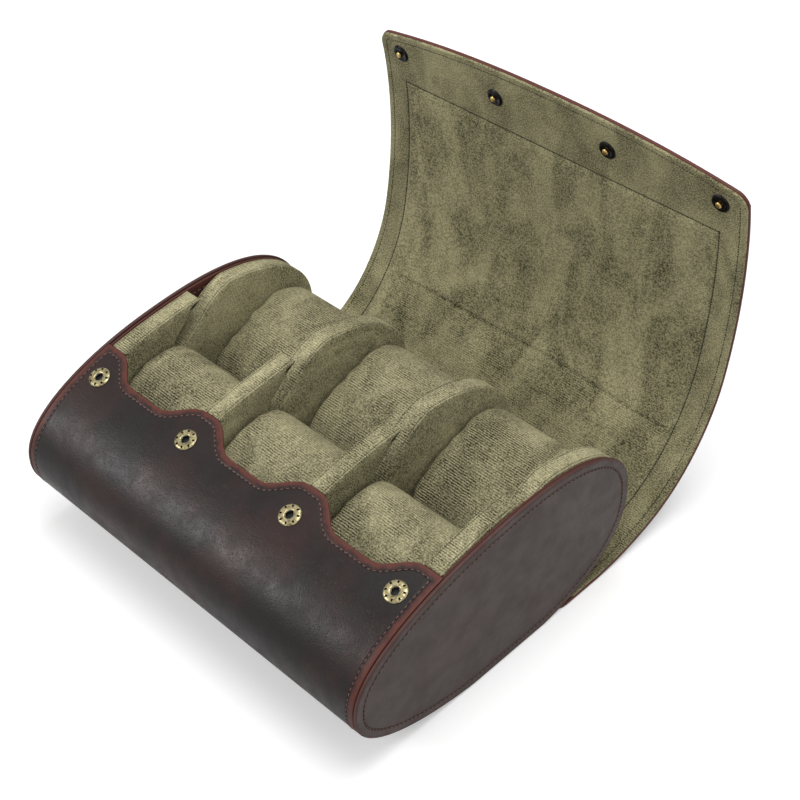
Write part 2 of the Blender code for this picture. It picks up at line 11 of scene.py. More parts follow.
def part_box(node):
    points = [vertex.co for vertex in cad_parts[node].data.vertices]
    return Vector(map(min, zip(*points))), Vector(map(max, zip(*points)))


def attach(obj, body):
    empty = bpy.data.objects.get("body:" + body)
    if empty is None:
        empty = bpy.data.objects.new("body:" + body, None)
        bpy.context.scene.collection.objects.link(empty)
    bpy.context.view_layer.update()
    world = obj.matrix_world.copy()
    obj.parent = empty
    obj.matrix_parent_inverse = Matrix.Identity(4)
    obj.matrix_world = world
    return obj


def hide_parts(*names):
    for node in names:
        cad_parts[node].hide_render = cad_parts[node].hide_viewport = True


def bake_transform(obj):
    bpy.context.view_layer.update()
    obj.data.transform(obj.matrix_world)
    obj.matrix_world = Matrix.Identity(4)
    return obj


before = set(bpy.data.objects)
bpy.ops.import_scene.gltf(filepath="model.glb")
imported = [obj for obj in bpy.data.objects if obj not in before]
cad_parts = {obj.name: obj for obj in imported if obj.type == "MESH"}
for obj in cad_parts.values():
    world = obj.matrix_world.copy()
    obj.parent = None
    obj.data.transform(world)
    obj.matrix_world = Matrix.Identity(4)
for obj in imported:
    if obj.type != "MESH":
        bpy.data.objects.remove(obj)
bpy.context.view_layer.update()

# Studio. A white floor under soft boxes: a small one low in front on the left that draws the
# sheen on the leather, a large one overhead and a weak one on the right, seen from the right.
CAMERA_PLACE = (0.4569, -0.3939, 0.6274)
CAMERA_AZIMUTH = math.radians(45.315)
CAMERA_ELEVATION = math.radians(41.288)
CAMERA_ROLL = math.radians(-1.375)
CAMERA_LENS = 71.57
CAMERA_SHIFT = (0.00085, 0.00154)
SOFT_BOXES = (
    ("front_left", (-0.70, -0.78, 0.72), (0.40, 0.34), 5.0),
    ("overhead", (0.16, 0.14, 1.38), (1.0, 1.0), 13.5),
    ("right", (1.10, -0.10, 0.75), (0.8, 0.8), 1.4),
)
AIM = Vector((0.0, 0.02, 0.06))
FLOOR_HALF = 4.0
FLOOR_Z = -0.0003


def tone(red, green, blue):
    """Linear colour of a swatch given in 0 to 255."""
    parts = [v / 255.0 for v in (red, green, blue)]
    return tuple(v / 12.92 if v < 0.0405 else ((v + 0.055) / 1.055) ** 2.4 for v in parts) + (1.0,)


def add(tree, kind, inputs=(), **settings):
    """A node with its settings, and each input linked or set."""
    made = tree.nodes.new(kind)
    for key, value in settings.items():
        setattr(made, key, value)
    for key, value in dict(inputs).items():
        if isinstance(value, bpy.types.NodeSocket):
            tree.links.new(value, made.inputs[key])
        else:
            made.inputs[key].default_value = value
    return made


def new_object(name, data):
    made = bpy.data.objects.new(name, data)
    bpy.context.scene.collection.objects.link(made)
    return made


def soft_box(name, place, size, power):
    data = bpy.data.lights.new(name, "AREA")
    data.shape = "RECTANGLE"
    data.size, data.size_y = size
    data.energy = power
    lamp = new_object(name, data)
    lamp.location = place
    lamp.rotation_euler = (AIM - Vector(place)).to_track_quat("-Z", "Y").to_euler()


def studio_camera():
    data = bpy.data.cameras.new("studio_camera")
    data.lens = CAMERA_LENS
    data.shift_x, data.shift_y = CAMERA_SHIFT
    data.clip_start = 0.01
    camera = new_object("studio_camera", data)
    az, el = CAMERA_AZIMUTH, CAMERA_ELEVATION
    back = Vector((math.sin(az) * math.cos(el), -math.cos(az) * math.cos(el), math.sin(el)))
    right = Vector((math.cos(az), math.sin(az), 0.0))
    up = back.cross(right)
    cosine, sine = math.cos(CAMERA_ROLL), math.sin(CAMERA_ROLL)
    axes = Matrix((cosine * right + sine * up, cosine * up - sine * right, back)).transposed()
    camera.matrix_world = Matrix.Translation(CAMERA_PLACE) @ axes.to_4x4()
    bpy.context.scene.camera = camera


def studio_floor():
    mesh = bpy.data.meshes.new("floor")
    corners = [(x * FLOOR_HALF, y * FLOOR_HALF, FLOOR_Z) for x, y in ((-1, -1), (1, -1), (1, 1), (-1, 1))]
    mesh.from_pydata(corners, [], [(0, 1, 2, 3)])
    floor = new_object("floor", mesh)
    paper = bpy.data.materials.new("white_paper")
    paper.use_nodes = True
    tree = paper.node_tree
    tree.nodes.clear()
    path = add(tree, "ShaderNodeLightPath")
    matt = add(tree, "ShaderNodeBsdfDiffuse", {"Color": (0.80, 0.80, 0.80, 1.0)})
    place = add(tree, "ShaderNodeTexCoord").outputs["Object"]
    away = add(tree, "ShaderNodeVectorMath", {0: place}, operation="LENGTH")
    level = add(tree, "ShaderNodeMapRange", {"Value": away.outputs["Value"], "From Min": 0.35,
                                             "From Max": 1.6, "To Min": 0.35, "To Max": 0.80})
    lift = add(tree, "ShaderNodeMath", {0: path.outputs["Is Camera Ray"], 1: level.outputs[0]},
               operation="MULTIPLY")
    glow = add(tree, "ShaderNodeEmission", {"Color": (1.0, 1.0, 1.0, 1.0), "Strength": lift.outputs[0]})
    both = add(tree, "ShaderNodeAddShader", {0: matt.outputs[0], 1: glow.outputs[0]})
    add(tree, "ShaderNodeOutputMaterial", {"Surface": both.outputs[0]})
    mesh.materials.append(paper)


def studio_world():
    world = bpy.data.worlds.new("white_room")
    bpy.context.scene.world = world
    world.use_nodes = True
    tree = world.node_tree
    tree.nodes.clear()
    path = add(tree, "ShaderNodeLightPath")
    seen = add(tree, "ShaderNodeMath", {0: path.outputs["Is Camera Ray"], 1: path.outputs["Is Glossy Ray"]},
               operation="MAXIMUM")
    seen = add(tree, "ShaderNodeMath", {0: seen.outputs[0], 1: path.outputs["Is Transmission Ray"]},
               operation="MAXIMUM")
    level = add(tree, "ShaderNodeMapRange", {"Value": seen.outputs[0], "To Min": 0.38, "To Max": 1.0})
    sky = add(tree, "ShaderNodeBackground", {"Color": (1.0, 1.0, 1.0, 1.0), "Strength": level.outputs[0]})
    add(tree, "ShaderNodeOutputWorld", {"Surface": sky.outputs[0]})


bpy.context.scene.view_settings.view_transform = "Standard"
studio_camera()
studio_floor()
studio_world()
for values in SOFT_BOXES:
    soft_box(*values)


# Leather sheet. One piece of waxed hide starts at the scalloped lip, runs round the front and
# the base, lies on the table behind the case and stands up as the lid. It bends behind the
# case, so it is made in four stretches, and the first is punched for the four sockets.
CASE_LENGTH = 0.250
HALF_DEPTH = 0.098
HALF_HEIGHT = 0.0496
MID_HEIGHT = 0.0485
SQUARENESS = 2.27
BACK_SWELL = 0.13
BACK_RISE = 0.032
LEATHER = 0.0020
GAP = 0.0003
TAIL_FLAT_Y = 0.030
HINGE_Y = 0.061
WRAP_HALF = 0.1227
LIP_PEAK_Y = -0.038
LIP_VALLEY_Y = -0.0505
LIP_TABS = (0.03865, 0.1158)
TAB_FLAT = 0.005
TAB_REACH = 0.027
LID_STRETCHES = ((0.012, 0.0), (0.050, 21.0), (0.038, 27.0), (0.056, 31.0), (0.088, 18.0), (0.062, 18.1))
FREE_EDGE_Z = 0.205
FREE_EDGE_CROWN = 0.0115
CROWN_POWER = 2.2
FREE_EDGE_CORNER = 0.007
BENDS = (0.0, 0.044, 0.100, 0.234)
MEETINGS = (0.022, 0.072, 0.167)
BEND_REACH = 0.014
HIDE_STITCH_IN = 0.0042


def signed_power(value, power):
    return math.copysign(abs(value) ** power, value)


def outline_point(angle, inset):
    """Point of the case's oval moved inwards, above the flat of the base; 0 is the back."""
    places = []
    for at in (angle, angle - 0.002, angle + 0.002):
        y = HALF_DEPTH * signed_power(math.cos(at), 2.0 / SQUARENESS)
        height = HALF_HEIGHT * (1.0 + BACK_SWELL * y / HALF_DEPTH)
        rise = height * signed_power(math.sin(at), 2.0 / SQUARENESS)
        places.append((y, MID_HEIGHT + BACK_RISE * y + rise))
    (y, z), before, after = places
    run = (after[0] - before[0], after[1] - before[1])
    length = math.hypot(*run)
    return y - inset * run[1] / length, max(z + inset * run[0] / length, inset)


def top_angle(y):
    return math.acos(max(-1.0, min(1.0, signed_power(y / HALF_DEPTH, SQUARENESS / 2.0))))


def lid_path():
    """Outer side of the lid from the hinge, sampled along its bent stretches."""
    places, y, z, heading = [], HINGE_Y, 0.0, 0.0
    for length, turn in LID_STRETCHES:
        count = round(length / 0.0005)
        for _ in range(count):
            places.append((y, z))
            step, bend = length / count, math.radians(turn) / count
            y += step * math.cos(heading + bend / 2.0)
            z += step * math.sin(heading + bend / 2.0)
            heading += bend
    return places


def sheet_path():
    """Distance along the sheet, its outer side and its inward normal, from the lip to the lid's end."""
    first, last = top_angle(LIP_PEAK_Y + 0.004), 2.0 * math.pi - top_angle(TAIL_FLAT_Y)
    wrap = [outline_point(first + (last - first) * i / 900, 0.0) for i in range(900)]
    tail = [(TAIL_FLAT_Y + (HINGE_Y - TAIL_FLAT_Y) * i / 60, 0.0) for i in range(60)]
    line = np.array(wrap + tail + lid_path())
    along = np.concatenate([[0.0], np.cumsum(np.hypot(*np.diff(line, axis=0).T))])
    along -= along[len(wrap) + len(tail)]
    slope = np.gradient(line, along, axis=0)
    kernel = np.ones(9) / 9.0
    slope = np.stack([np.convolve(np.pad(slope[:, k], 4, "edge"), kernel, "valid") for k in (0, 1)], 1)
    slope /= np.hypot(*slope.T)[:, None]
    return along, line, np.stack([-slope[:, 1], slope[:, 0]], 1)


ALONG, LINE, INWARD = sheet_path()


def on_sheet(x, s, height):
    """Places in the room for distances across and along the sheet and heights above its outer side."""
    y = np.interp(s, ALONG, LINE[:, 0]) + height * np.interp(s, ALONG, INWARD[:, 0])
    z = np.interp(s, ALONG, LINE[:, 1]) + height * np.interp(s, ALONG, INWARD[:, 1])
    return np.stack(np.broadcast_arrays(x, y, z), -1)


def lip_along(x):
    """Where the scalloped lip ends: tabs at the dividers and the ends, bays between them."""
    away = np.min([np.abs(np.abs(x) - tab) for tab in LIP_TABS], axis=0)
    away = np.where(np.abs(x) > LIP_TABS[1], 0.0, away)
    share = np.clip((away - TAB_FLAT) / (TAB_REACH - TAB_FLAT), 0.0, 1.0)
    y = LIP_VALLEY_Y + (LIP_PEAK_Y - LIP_VALLEY_Y) * 0.5 * (1.0 + np.cos(math.pi * share))
    top = slice(0, int(np.argmin(LINE[:900, 0])))
    return np.interp(-y, -LINE[top, 0], ALONG[top])


def lid_end_along(x):
    """Where the lid's crowned free edge ends, with its rounded corners."""
    half = CASE_LENGTH / 2.0
    over = np.maximum(0.0, np.abs(x) - half + FREE_EDGE_CORNER)
    drop = FREE_EDGE_CORNER - np.sqrt(np.maximum(0.0, FREE_EDGE_CORNER ** 2 - over ** 2))
    z = FREE_EDGE_Z - FREE_EDGE_CROWN * np.abs(x / half) ** CROWN_POWER - drop
    upper = ALONG > 0.1
    return np.interp(z, LINE[upper, 1], ALONG[upper])


def smooth_step(value, low, high):
    share = np.clip((value - low) / (high - low), 0.0, 1.0)
    return share * share * (3.0 - 2.0 * share)


def leather_half(s):
    """Half the leather's width: between the end discs, then the lid's full width."""
    return WRAP_HALF + (CASE_LENGTH / 2.0 - WRAP_HALF) * smooth_step(s, -0.014, -0.010)


def spread(fine, step, reach):
    """Distances from an edge: the fine ones given, then growing steps up to reach."""
    places = list(fine)
    while places[-1] + 1.3 * step < reach:
        places.append(places[-1] + min(step, 1.35 * (places[-1] - places[-2])))
    return places


EDGE_STEPS = (0.0, 0.00010, 0.00030, 0.00065, 0.0012, 0.0020, 0.0032, 0.0044, 0.0054, 0.0064)


def columns(fine, step):
    """Shares of the half width from one side edge to the other."""
    half = CASE_LENGTH / 2.0
    near = np.array(spread(fine, step, half))
    near = near[near < half - 0.6 * step]
    side = 1.0 - near / half
    return np.concatenate([-side, [0.0], side[::-1]])


def sheet_rows(share, start, ends, fine, step, half_width, more=()):
    """Grids of x and s between a straight row at start and the row of ends, one for each column."""
    outermost = np.max(ends) if np.max(ends) > start else np.min(ends)
    sign = 1.0 if outermost > start else -1.0
    near = np.unique(np.concatenate([spread(fine, step, abs(outermost - start)), more]))
    near = near[near < abs(outermost - start) - 0.5 * step]
    follow = 1.0 - smooth_step(near, 0.010, 0.050)
    rows = [outermost - sign * d - (outermost - ends) * f for d, f in zip(near, follow)]
    s = np.array(rows + [np.full_like(ends, start)])
    x = share[None, :] * half_width(s)
    return x, s


def edge_distance(x, s, half_width, curves):
    """Distance from the sheet's cut edges, measured on the flat sheet."""
    away = half_width(s) - np.abs(x)
    flat_x, flat_s = x.ravel(), s.ravel()
    away = away.ravel()
    for curve in curves:
        near = np.abs(flat_s - np.interp(flat_x, curve[:, 0], curve[:, 1])) < 0.030
        gaps = np.hypot(flat_x[near, None] - curve[None, :, 0], flat_s[near, None] - curve[None, :, 1])
        away[near] = np.minimum(away[near], gaps.min(1))
    return np.maximum(away.reshape(x.shape), 0.0)


def edge_curve(ends, half_width):
    x = np.linspace(-half_width, half_width, 2400)
    return np.stack([x, ends(x)], 1)


def rounded(away, radius):
    """How far a face drops towards a cut edge that is rounded over."""
    left = np.clip(radius - away, 0.0, radius)
    return radius - np.sqrt(radius * radius - left * left)


def make_object(name, mesh, finish):
    mesh.name = name
    mesh.materials.clear()
    mesh.materials.append(finish)
    return new_object(name, mesh)


def add_attributes(mesh, attributes):
    for key, values in attributes.items():
        values = np.asarray(values, np.float32)
        kind, field = ("FLOAT_VECTOR", "vector") if values.ndim == 2 else ("FLOAT", "value")
        mesh.attributes.new(key, kind, "POINT").data.foreach_set(field, values.ravel())


def closed_mesh(points, faces, attributes, sharp=45.0, merge=0.0):
    """Mesh with outward faces, smooth but for its sharp turns, and its point attributes."""
    mesh = bpy.data.meshes.new("made")
    mesh.from_pydata(points.tolist(), [], faces)
    shape = bmesh.new()
    shape.from_mesh(mesh)
    if merge:
        bmesh.ops.remove_doubles(shape, verts=shape.verts, dist=merge)
    bmesh.ops.recalc_face_normals(shape, faces=shape.faces)
    shape.to_mesh(mesh)
    shape.free()
    add_attributes(mesh, attributes)
    mesh.shade_smooth()
    mesh.set_sharp_from_angle(angle=math.radians(sharp))
    return mesh


def two_sided(x, s, low, high, attributes):
    """Closed sheet between two grids of heights, with a wall along its four edges."""
    rows, cols = x.shape
    size = rows * cols
    points = np.concatenate([on_sheet(x, s, low).reshape(-1, 3), on_sheet(x, s, high).reshape(-1, 3)])
    at = np.arange(size).reshape(rows, cols)
    quads = np.stack([at[:-1, :-1], at[:-1, 1:], at[1:, 1:], at[1:, :-1]], -1).reshape(-1, 4)
    rim = np.concatenate([at[0, :-1], at[:-1, -1], at[-1, :0:-1], at[:0:-1, 0]])
    turn = np.roll(rim, -1)
    walls = np.stack([rim, turn, turn + size, rim + size], -1)
    faces = np.concatenate([quads[:, ::-1], quads + size, walls]).tolist()
    flat = [np.stack([x.ravel(), s.ravel(), h.ravel()], -1) for h in (low, high)]
    doubled = {key: np.concatenate([value.ravel()] * 2) for key, value in attributes.items()}
    doubled["flat"] = np.concatenate(flat)
    return closed_mesh(points, faces, doubled)


def dress(piece, nodes=(), body=None):
    """Hides the CAD nodes the piece stands for and fixes the piece to its body."""
    if nodes:
        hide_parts(*nodes)
    if body:
        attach(piece, body)
    return piece


def bend_between(piece, number):
    """Bakes the piece's placement into its points. The ends of its bend round BENDS[number] are worked out
    but not used.
    """
    middle = BENDS[number]
    start = on_sheet(0.0, middle - BEND_REACH, LEATHER)
    end = on_sheet(0.0, middle + BEND_REACH, LEATHER)
    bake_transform(piece)


def shader_group(name, inputs, outputs):
    tree = bpy.data.node_groups.new(name, "ShaderNodeTree")
    for label, kind, value in inputs:
        socket = tree.interface.new_socket(label, in_out="INPUT", socket_type=kind)
        if value is not None:
            socket.default_value = value
    for label in outputs:
        tree.interface.new_socket(label, in_out="OUTPUT", socket_type="NodeSocketFloat")
    return tree, add(tree, "NodeGroupInput").outputs, add(tree, "NodeGroupOutput").inputs


def noise(tree, place, scale, detail=3.0, roughness=0.55, distortion=0.0):
    made = add(tree, "ShaderNodeTexNoise", {"Vector": place, "Scale": scale, "Detail": detail,
                                            "Roughness": roughness, "Distortion": distortion})
    return made.outputs["Fac"]


def ranged(tree, value, low, high, to_low=0.0, to_high=1.0, smooth=False):
    made = add(tree, "ShaderNodeMapRange", {"Value": value, "From Min": low, "From Max": high,
                                            "To Min": to_low, "To Max": to_high})
    made.interpolation_type = "SMOOTHSTEP" if smooth else "LINEAR"
    return made.outputs[0]


def maths(tree, operation, first, second=0.0, third=0.0):
    return add(tree, "ShaderNodeMath", {0: first, 1: second, 2: third}, operation=operation).outputs[0]


def mixed(tree, share, first, second):
    return add(tree, "ShaderNodeMix", {0: share, 6: first, 7: second}, data_type="RGBA").outputs[2]


def send(tree, out, **values):
    """Links values to the outputs of a node group."""
    for label, value in values.items():
        tree.links.new(value, out[label])


def new_material(name):
    made = bpy.data.materials.new(name)
    made.use_nodes = True
    return made, made.node_tree, made.node_tree.nodes["Principled BSDF"]


def link_shader(tree, shader, colour, rough, height, distance, strength=1.0):
    bump = add(tree, "ShaderNodeBump", {"Height": height, "Distance": distance, "Strength": strength})
    for label, value in (("Base Color", colour), ("Roughness", rough), ("Normal", bump.outputs[0])):
        tree.links.new(value, shader.inputs[label])


def hide_group():
    """Waxed hide: cloudy patina, pores and creases, a burnished edge and a pressed stitch line, darkened as
    painted shade.
    """
    tree, given, out = shader_group(
        "waxed_hide",
        [("Place", "NodeSocketVector", None), ("Edge", "NodeSocketFloat", 0.05),
         ("Band", "NodeSocketFloat", 0.0058), ("Stitch", "NodeSocketFloat", HIDE_STITCH_IN)],
        ["Patina", "Cloud", "Burnish", "Groove", "Height", "Scuff"],
    )
    place = given["Place"]
    patina = ranged(tree, noise(tree, place, 19.0, 3.0, 0.6, 0.3), 0.40, 0.64, smooth=True)
    cloud = ranged(tree, noise(tree, place, 85.0, 4.0, 0.6), 0.35, 0.68)
    ragged = noise(tree, place, 210.0, 5.0, 0.7)
    edge = maths(tree, "MULTIPLY_ADD", ragged, 0.0075, maths(tree, "SUBTRACT", given["Edge"], 0.0036))
    burnish = ranged(tree, maths(tree, "DIVIDE", edge, given["Band"]), 0.15, 1.0, 1.0, 0.0, smooth=True)
    off = maths(tree, "ABSOLUTE", maths(tree, "SUBTRACT", given["Edge"], given["Stitch"]))
    # The groove mask dents the stitch line and also gives it painted shade in the colour.
    groove = ranged(tree, off, 0.00015, 0.0008, 1.0, 0.0, smooth=True)
    pores = add(tree, "ShaderNodeTexVoronoi", {"Vector": place, "Scale": 950.0, "Randomness": 1.0})
    pores = ranged(tree, pores.outputs["Distance"], 0.02, 0.42)
    creases = noise(tree, place, 330.0, 6.0, 0.62, 0.8)
    grain = maths(tree, "MULTIPLY_ADD", pores, 0.45, maths(tree, "MULTIPLY", creases, 0.9))
    swell = maths(tree, "MULTIPLY", noise(tree, place, 60.0, 2.0), 1.2)
    height = maths(tree, "ADD", maths(tree, "ADD", grain, swell), maths(tree, "MULTIPLY", groove, -2.2))
    streak = add(tree, "ShaderNodeMapping", {"Vector": place, "Scale": (0.35, 1.0, 1.0),
                                             "Rotation": (0.0, 0.0, 0.7)})
    scuff = ranged(tree, noise(tree, streak.outputs[0], 420.0, 5.0, 0.7, 0.4), 0.60, 0.78)
    send(tree, out, Patina=patina, Cloud=cloud, Burnish=burnish, Groove=groove, Height=height, Scuff=scuff)
    return tree


WAXED_HIDE = hide_group()


def surface(name):
    """A new material's tree and its shader, with the flat place and edge distance of its piece."""
    made, tree, shader = new_material(name)
    place = add(tree, "ShaderNodeAttribute", attribute_name="flat").outputs["Vector"]
    edge = add(tree, "ShaderNodeAttribute", attribute_name="edge").outputs["Fac"]
    return made, tree, shader, place, edge


def leather(name, dark, warm, burnt, band, stitch, rough, gloss, cloudy=0.55):
    made, tree, shader, place, edge = surface(name)
    out = add(tree, "ShaderNodeGroup", {"Place": place, "Edge": edge, "Band": band, "Stitch": stitch},
              node_tree=WAXED_HIDE).outputs
    colour = mixed(tree, out["Patina"], dark, warm)
    colour = mixed(tree, maths(tree, "MULTIPLY", out["Cloud"], cloudy), colour, tone(18, 12, 13))
    colour = mixed(tree, maths(tree, "MULTIPLY", out["Burnish"], 0.9), colour, burnt)
    colour = mixed(tree, maths(tree, "MULTIPLY", out["Scuff"], 0.20), colour, tone(104, 70, 60))
    # Painted shade: the colour darkens along the pressed stitch line, on top of the bump's dent.
    colour = mixed(tree, maths(tree, "MULTIPLY", out["Groove"], 0.45), colour, tone(26, 13, 11))
    level = ranged(tree, out["Cloud"], 0.0, 1.0, rough - 0.05, rough + 0.10)
    level = maths(tree, "MULTIPLY_ADD", out["Burnish"], 0.12, level)
    level = maths(tree, "MULTIPLY_ADD", out["Scuff"], 0.10, level)
    link_shader(tree, shader, colour, level, out["Height"], 0.00016, 0.75)
    shader.inputs["Specular IOR Level"].default_value = gloss
    return made


HIDE = leather("waxed_leather", tone(25, 18, 18), tone(46, 28, 24), tone(90, 45, 36), 0.0044, HIDE_STITCH_IN,
               0.36, 0.25)
LEATHER_HALF = CASE_LENGTH / 2.0
HIDE_COLUMNS = columns(EDGE_STEPS, 0.0050)
LIP_CURVE = edge_curve(lip_along, WRAP_HALF)
LID_CURVE = edge_curve(lid_end_along, LEATHER_HALF)
LEATHER_ROUND = 0.0006


def front_along(y):
    """Distance along the sheet of a place on the upper front."""
    return float(np.interp(-y, -LINE[:400, 0], ALONG[:400]))


SNAP_X = (-0.10945, -0.03865, 0.03865, 0.10945)
SNAP_ALONG = front_along(-0.0555)
SOCKET_HOLE = 0.0035
HOLE_SIDES = 48
UNWORN = 0.020


def evaluated(thing):
    bpy.context.view_layer.update()
    return bpy.data.meshes.new_from_object(thing.evaluated_get(bpy.context.evaluated_depsgraph_get()))


def with_modifier(mesh, kind, **settings):
    """The mesh after one modifier."""
    carrier = new_object("carrier", mesh)
    step = carrier.modifiers.new("step", kind)
    for key, value in settings.items():
        setattr(step, key, value)
    result = evaluated(carrier)
    bpy.data.objects.remove(carrier, do_unlink=True)
    return result


def frame_on(place, normal):
    return Matrix.LocRotScale(Vector(place), Vector(normal).to_track_quat("Z", "Y"), None)


def cut_out(mesh, cutter, sharp):
    """The mesh without the cutter's cones, smooth but for its sharp turns."""
    tool = bpy.data.meshes.new("cutter")
    cutter.to_mesh(tool)
    cutter.free()
    holder = new_object("cutter", tool)
    result = with_modifier(mesh, "BOOLEAN", operation="DIFFERENCE", solver="EXACT", object=holder)
    bpy.data.objects.remove(holder, do_unlink=True)
    result.materials.clear()
    result.shade_smooth()
    result.set_sharp_from_angle(angle=math.radians(sharp))
    return result


def punched(mesh):
    """The leather with a round hole for each socket's post, and no worn edge round it."""
    cutter = bmesh.new()
    for x in SNAP_X:
        spot = on_sheet(x, SNAP_ALONG, 0.0)
        place = frame_on(spot, spot - on_sheet(x, SNAP_ALONG, 0.001))
        bmesh.ops.create_cone(cutter, cap_ends=True, segments=HOLE_SIDES, radius1=SOCKET_HOLE,
                              radius2=SOCKET_HOLE, depth=0.0120, matrix=place)
    result = cut_out(mesh, cutter, 45.0)
    for x in SNAP_X:
        spot = Vector(on_sheet(x, SNAP_ALONG, 0.001))
        for vertex in result.vertices:
            if (vertex.co - spot).length < 1.25 * SOCKET_HOLE:
                result.attributes["edge"].data[vertex.index].value = UNWORN
    return result


def leather_stretch(name, x, s, curves, replaced):
    away = edge_distance(x, s, leather_half, curves)
    low = rounded(away, LEATHER_ROUND)
    mesh = two_sided(x, s, low, LEATHER - low, {"edge": away})
    piece = make_object(name, punched(mesh) if name == "sheet_wrap" else mesh, HIDE)
    return dress(piece, replaced)


def straight_rows(share, first, last, step, half_width):
    count = max(2, round((last - first) / step))
    s = np.repeat(np.linspace(first, last, count + 1)[:, None], len(share), 1)
    return share[None, :] * half_width(s), s


grids = [
    sheet_rows(HIDE_COLUMNS, MEETINGS[0], lip_along(HIDE_COLUMNS * WRAP_HALF), EDGE_STEPS, 0.0036,
               leather_half),
    straight_rows(HIDE_COLUMNS, MEETINGS[0], MEETINGS[1], 0.0025, leather_half),
    straight_rows(HIDE_COLUMNS, MEETINGS[1], MEETINGS[2], 0.0030, leather_half),
    sheet_rows(HIDE_COLUMNS, MEETINGS[2], lid_end_along(HIDE_COLUMNS * LEATHER_HALF), EDGE_STEPS, 0.0036,
               leather_half),
]
stretches = (
    ("sheet_wrap", [LIP_CURVE], ["body_wrap", "lid_strip_1_leather"]),
    ("sheet_bend", [], ["lid_strip_2_leather"]),
    ("sheet_lid", [], ["lid_leather"]),
    ("sheet_flap", [LID_CURVE], ["lid_flap_leather"]),
)
for number, ((x, s), (name, curves, replaced)) in enumerate(zip(grids, stretches)):
    bend_between(leather_stretch(name, x, s, curves, replaced), number)


# Stitches. Dark waxed thread runs in a pressed line near every cut edge of the leather, on the
# lip, the sides, the free edge and the end discs. At each end of a stitch a near-black bead of
# painted shade stands in for the awl hole.
THREAD_PITCH = 0.0030
THREAD_LENGTH = 0.0019
THREAD_THICK = 0.00036
THREAD_LIFT = 0.00012
STITCH_SEED = 7


def plain_surface(name, colour, rough, scale):
    """Material with fine mottling, on object coordinates."""
    made, tree, shader = new_material(name)
    place = add(tree, "ShaderNodeTexCoord").outputs["Object"]
    speck = noise(tree, place, scale, 4.0, 0.6)
    darker = tuple(0.45 * v for v in colour[:3]) + (1.0,)
    colour = mixed(tree, ranged(tree, speck, 0.3, 0.7), darker, colour)
    level = ranged(tree, speck, 0.3, 0.7, rough + 0.12, rough - 0.05)
    link_shader(tree, shader, colour, level, speck, 0.00005)
    return made


HIDE_THREAD = plain_surface("waxed_thread", tone(112, 74, 60), 0.5, 3000.0)
# Painted shade: a near-black finish for the beads that stand for the shadow in each awl hole.
AWL_HOLE_SHADE = plain_surface("awl_hole_shade", tone(20, 12, 11), 0.9, 2000.0)


def stitch_tree():
    """Geometry nodes: a thread and a near-black bead of painted shade for its awl hole, repeated along each
    line of the mesh.
    """
    tree = bpy.data.node_groups.new("stitches", "GeometryNodeTree")
    wanted = (("Geometry", "NodeSocketGeometry"), ("Pitch", "NodeSocketFloat"), ("Length", "NodeSocketFloat"),
              ("Thickness", "NodeSocketFloat"), ("Seed", "NodeSocketInt"), ("Thread", "NodeSocketMaterial"),
              ("HoleShade", "NodeSocketMaterial"))
    for label, kind in wanted:
        tree.interface.new_socket(label, in_out="INPUT", socket_type=kind)
    tree.interface.new_socket("Geometry", in_out="OUTPUT", socket_type="NodeSocketGeometry")
    given = add(tree, "NodeGroupInput").outputs
    line = add(tree, "GeometryNodeMeshToCurve", {"Mesh": given["Geometry"]})
    line = add(tree, "GeometryNodeResampleCurve", {"Curve": line.outputs[0], "Length": given["Pitch"]},
               mode="LENGTH")
    tangent = add(tree, "GeometryNodeInputTangent").outputs[0]
    turn = add(tree, "FunctionNodeAlignRotationToVector", {"Vector": tangent}, axis="X")
    branches = []
    for label, wide, shift in (("Thread", 2.0, 0.0), ("HoleShade", 2.1, 0.5)):
        ball = add(tree, "GeometryNodeMeshUVSphere", {"Segments": 8, "Rings": 6, "Radius": 0.5})
        across = maths(tree, "MULTIPLY", given["Thickness"], wide)
        along = given["Length"] if label == "Thread" else across
        size = add(tree, "ShaderNodeCombineXYZ", {"X": along, "Y": across, "Z": across})
        offset = add(tree, "ShaderNodeCombineXYZ", {"X": maths(tree, "MULTIPLY", given["Pitch"], shift)})
        shaped = add(tree, "GeometryNodeTransform", {"Geometry": ball.outputs[0], "Scale": size.outputs[0],
                                                     "Translation": offset.outputs[0]})
        vary = add(tree, "FunctionNodeRandomValue",
                   {"Min": (0.9,) * 3, "Max": (1.08,) * 3, "Seed": given["Seed"]}, data_type="FLOAT_VECTOR")
        placed = add(tree, "GeometryNodeInstanceOnPoints",
                     {"Points": line.outputs[0], "Instance": shaped.outputs[0], "Rotation": turn.outputs[0],
                      "Scale": vary.outputs[0]})
        solid = add(tree, "GeometryNodeRealizeInstances", {"Geometry": placed.outputs[0]})
        painted = add(tree, "GeometryNodeSetMaterial",
                      {"Geometry": solid.outputs[0], "Material": given[label]})
        branches.append(painted.outputs[0])
    both = add(tree, "GeometryNodeJoinGeometry")
    for branch in branches:
        tree.links.new(branch, both.inputs[0])
    smooth = add(tree, "GeometryNodeSetShadeSmooth", {"Geometry": both.outputs[0]})
    add(tree, "NodeGroupOutput", {0: smooth.outputs[0]})
    return tree


STITCHES = stitch_tree()


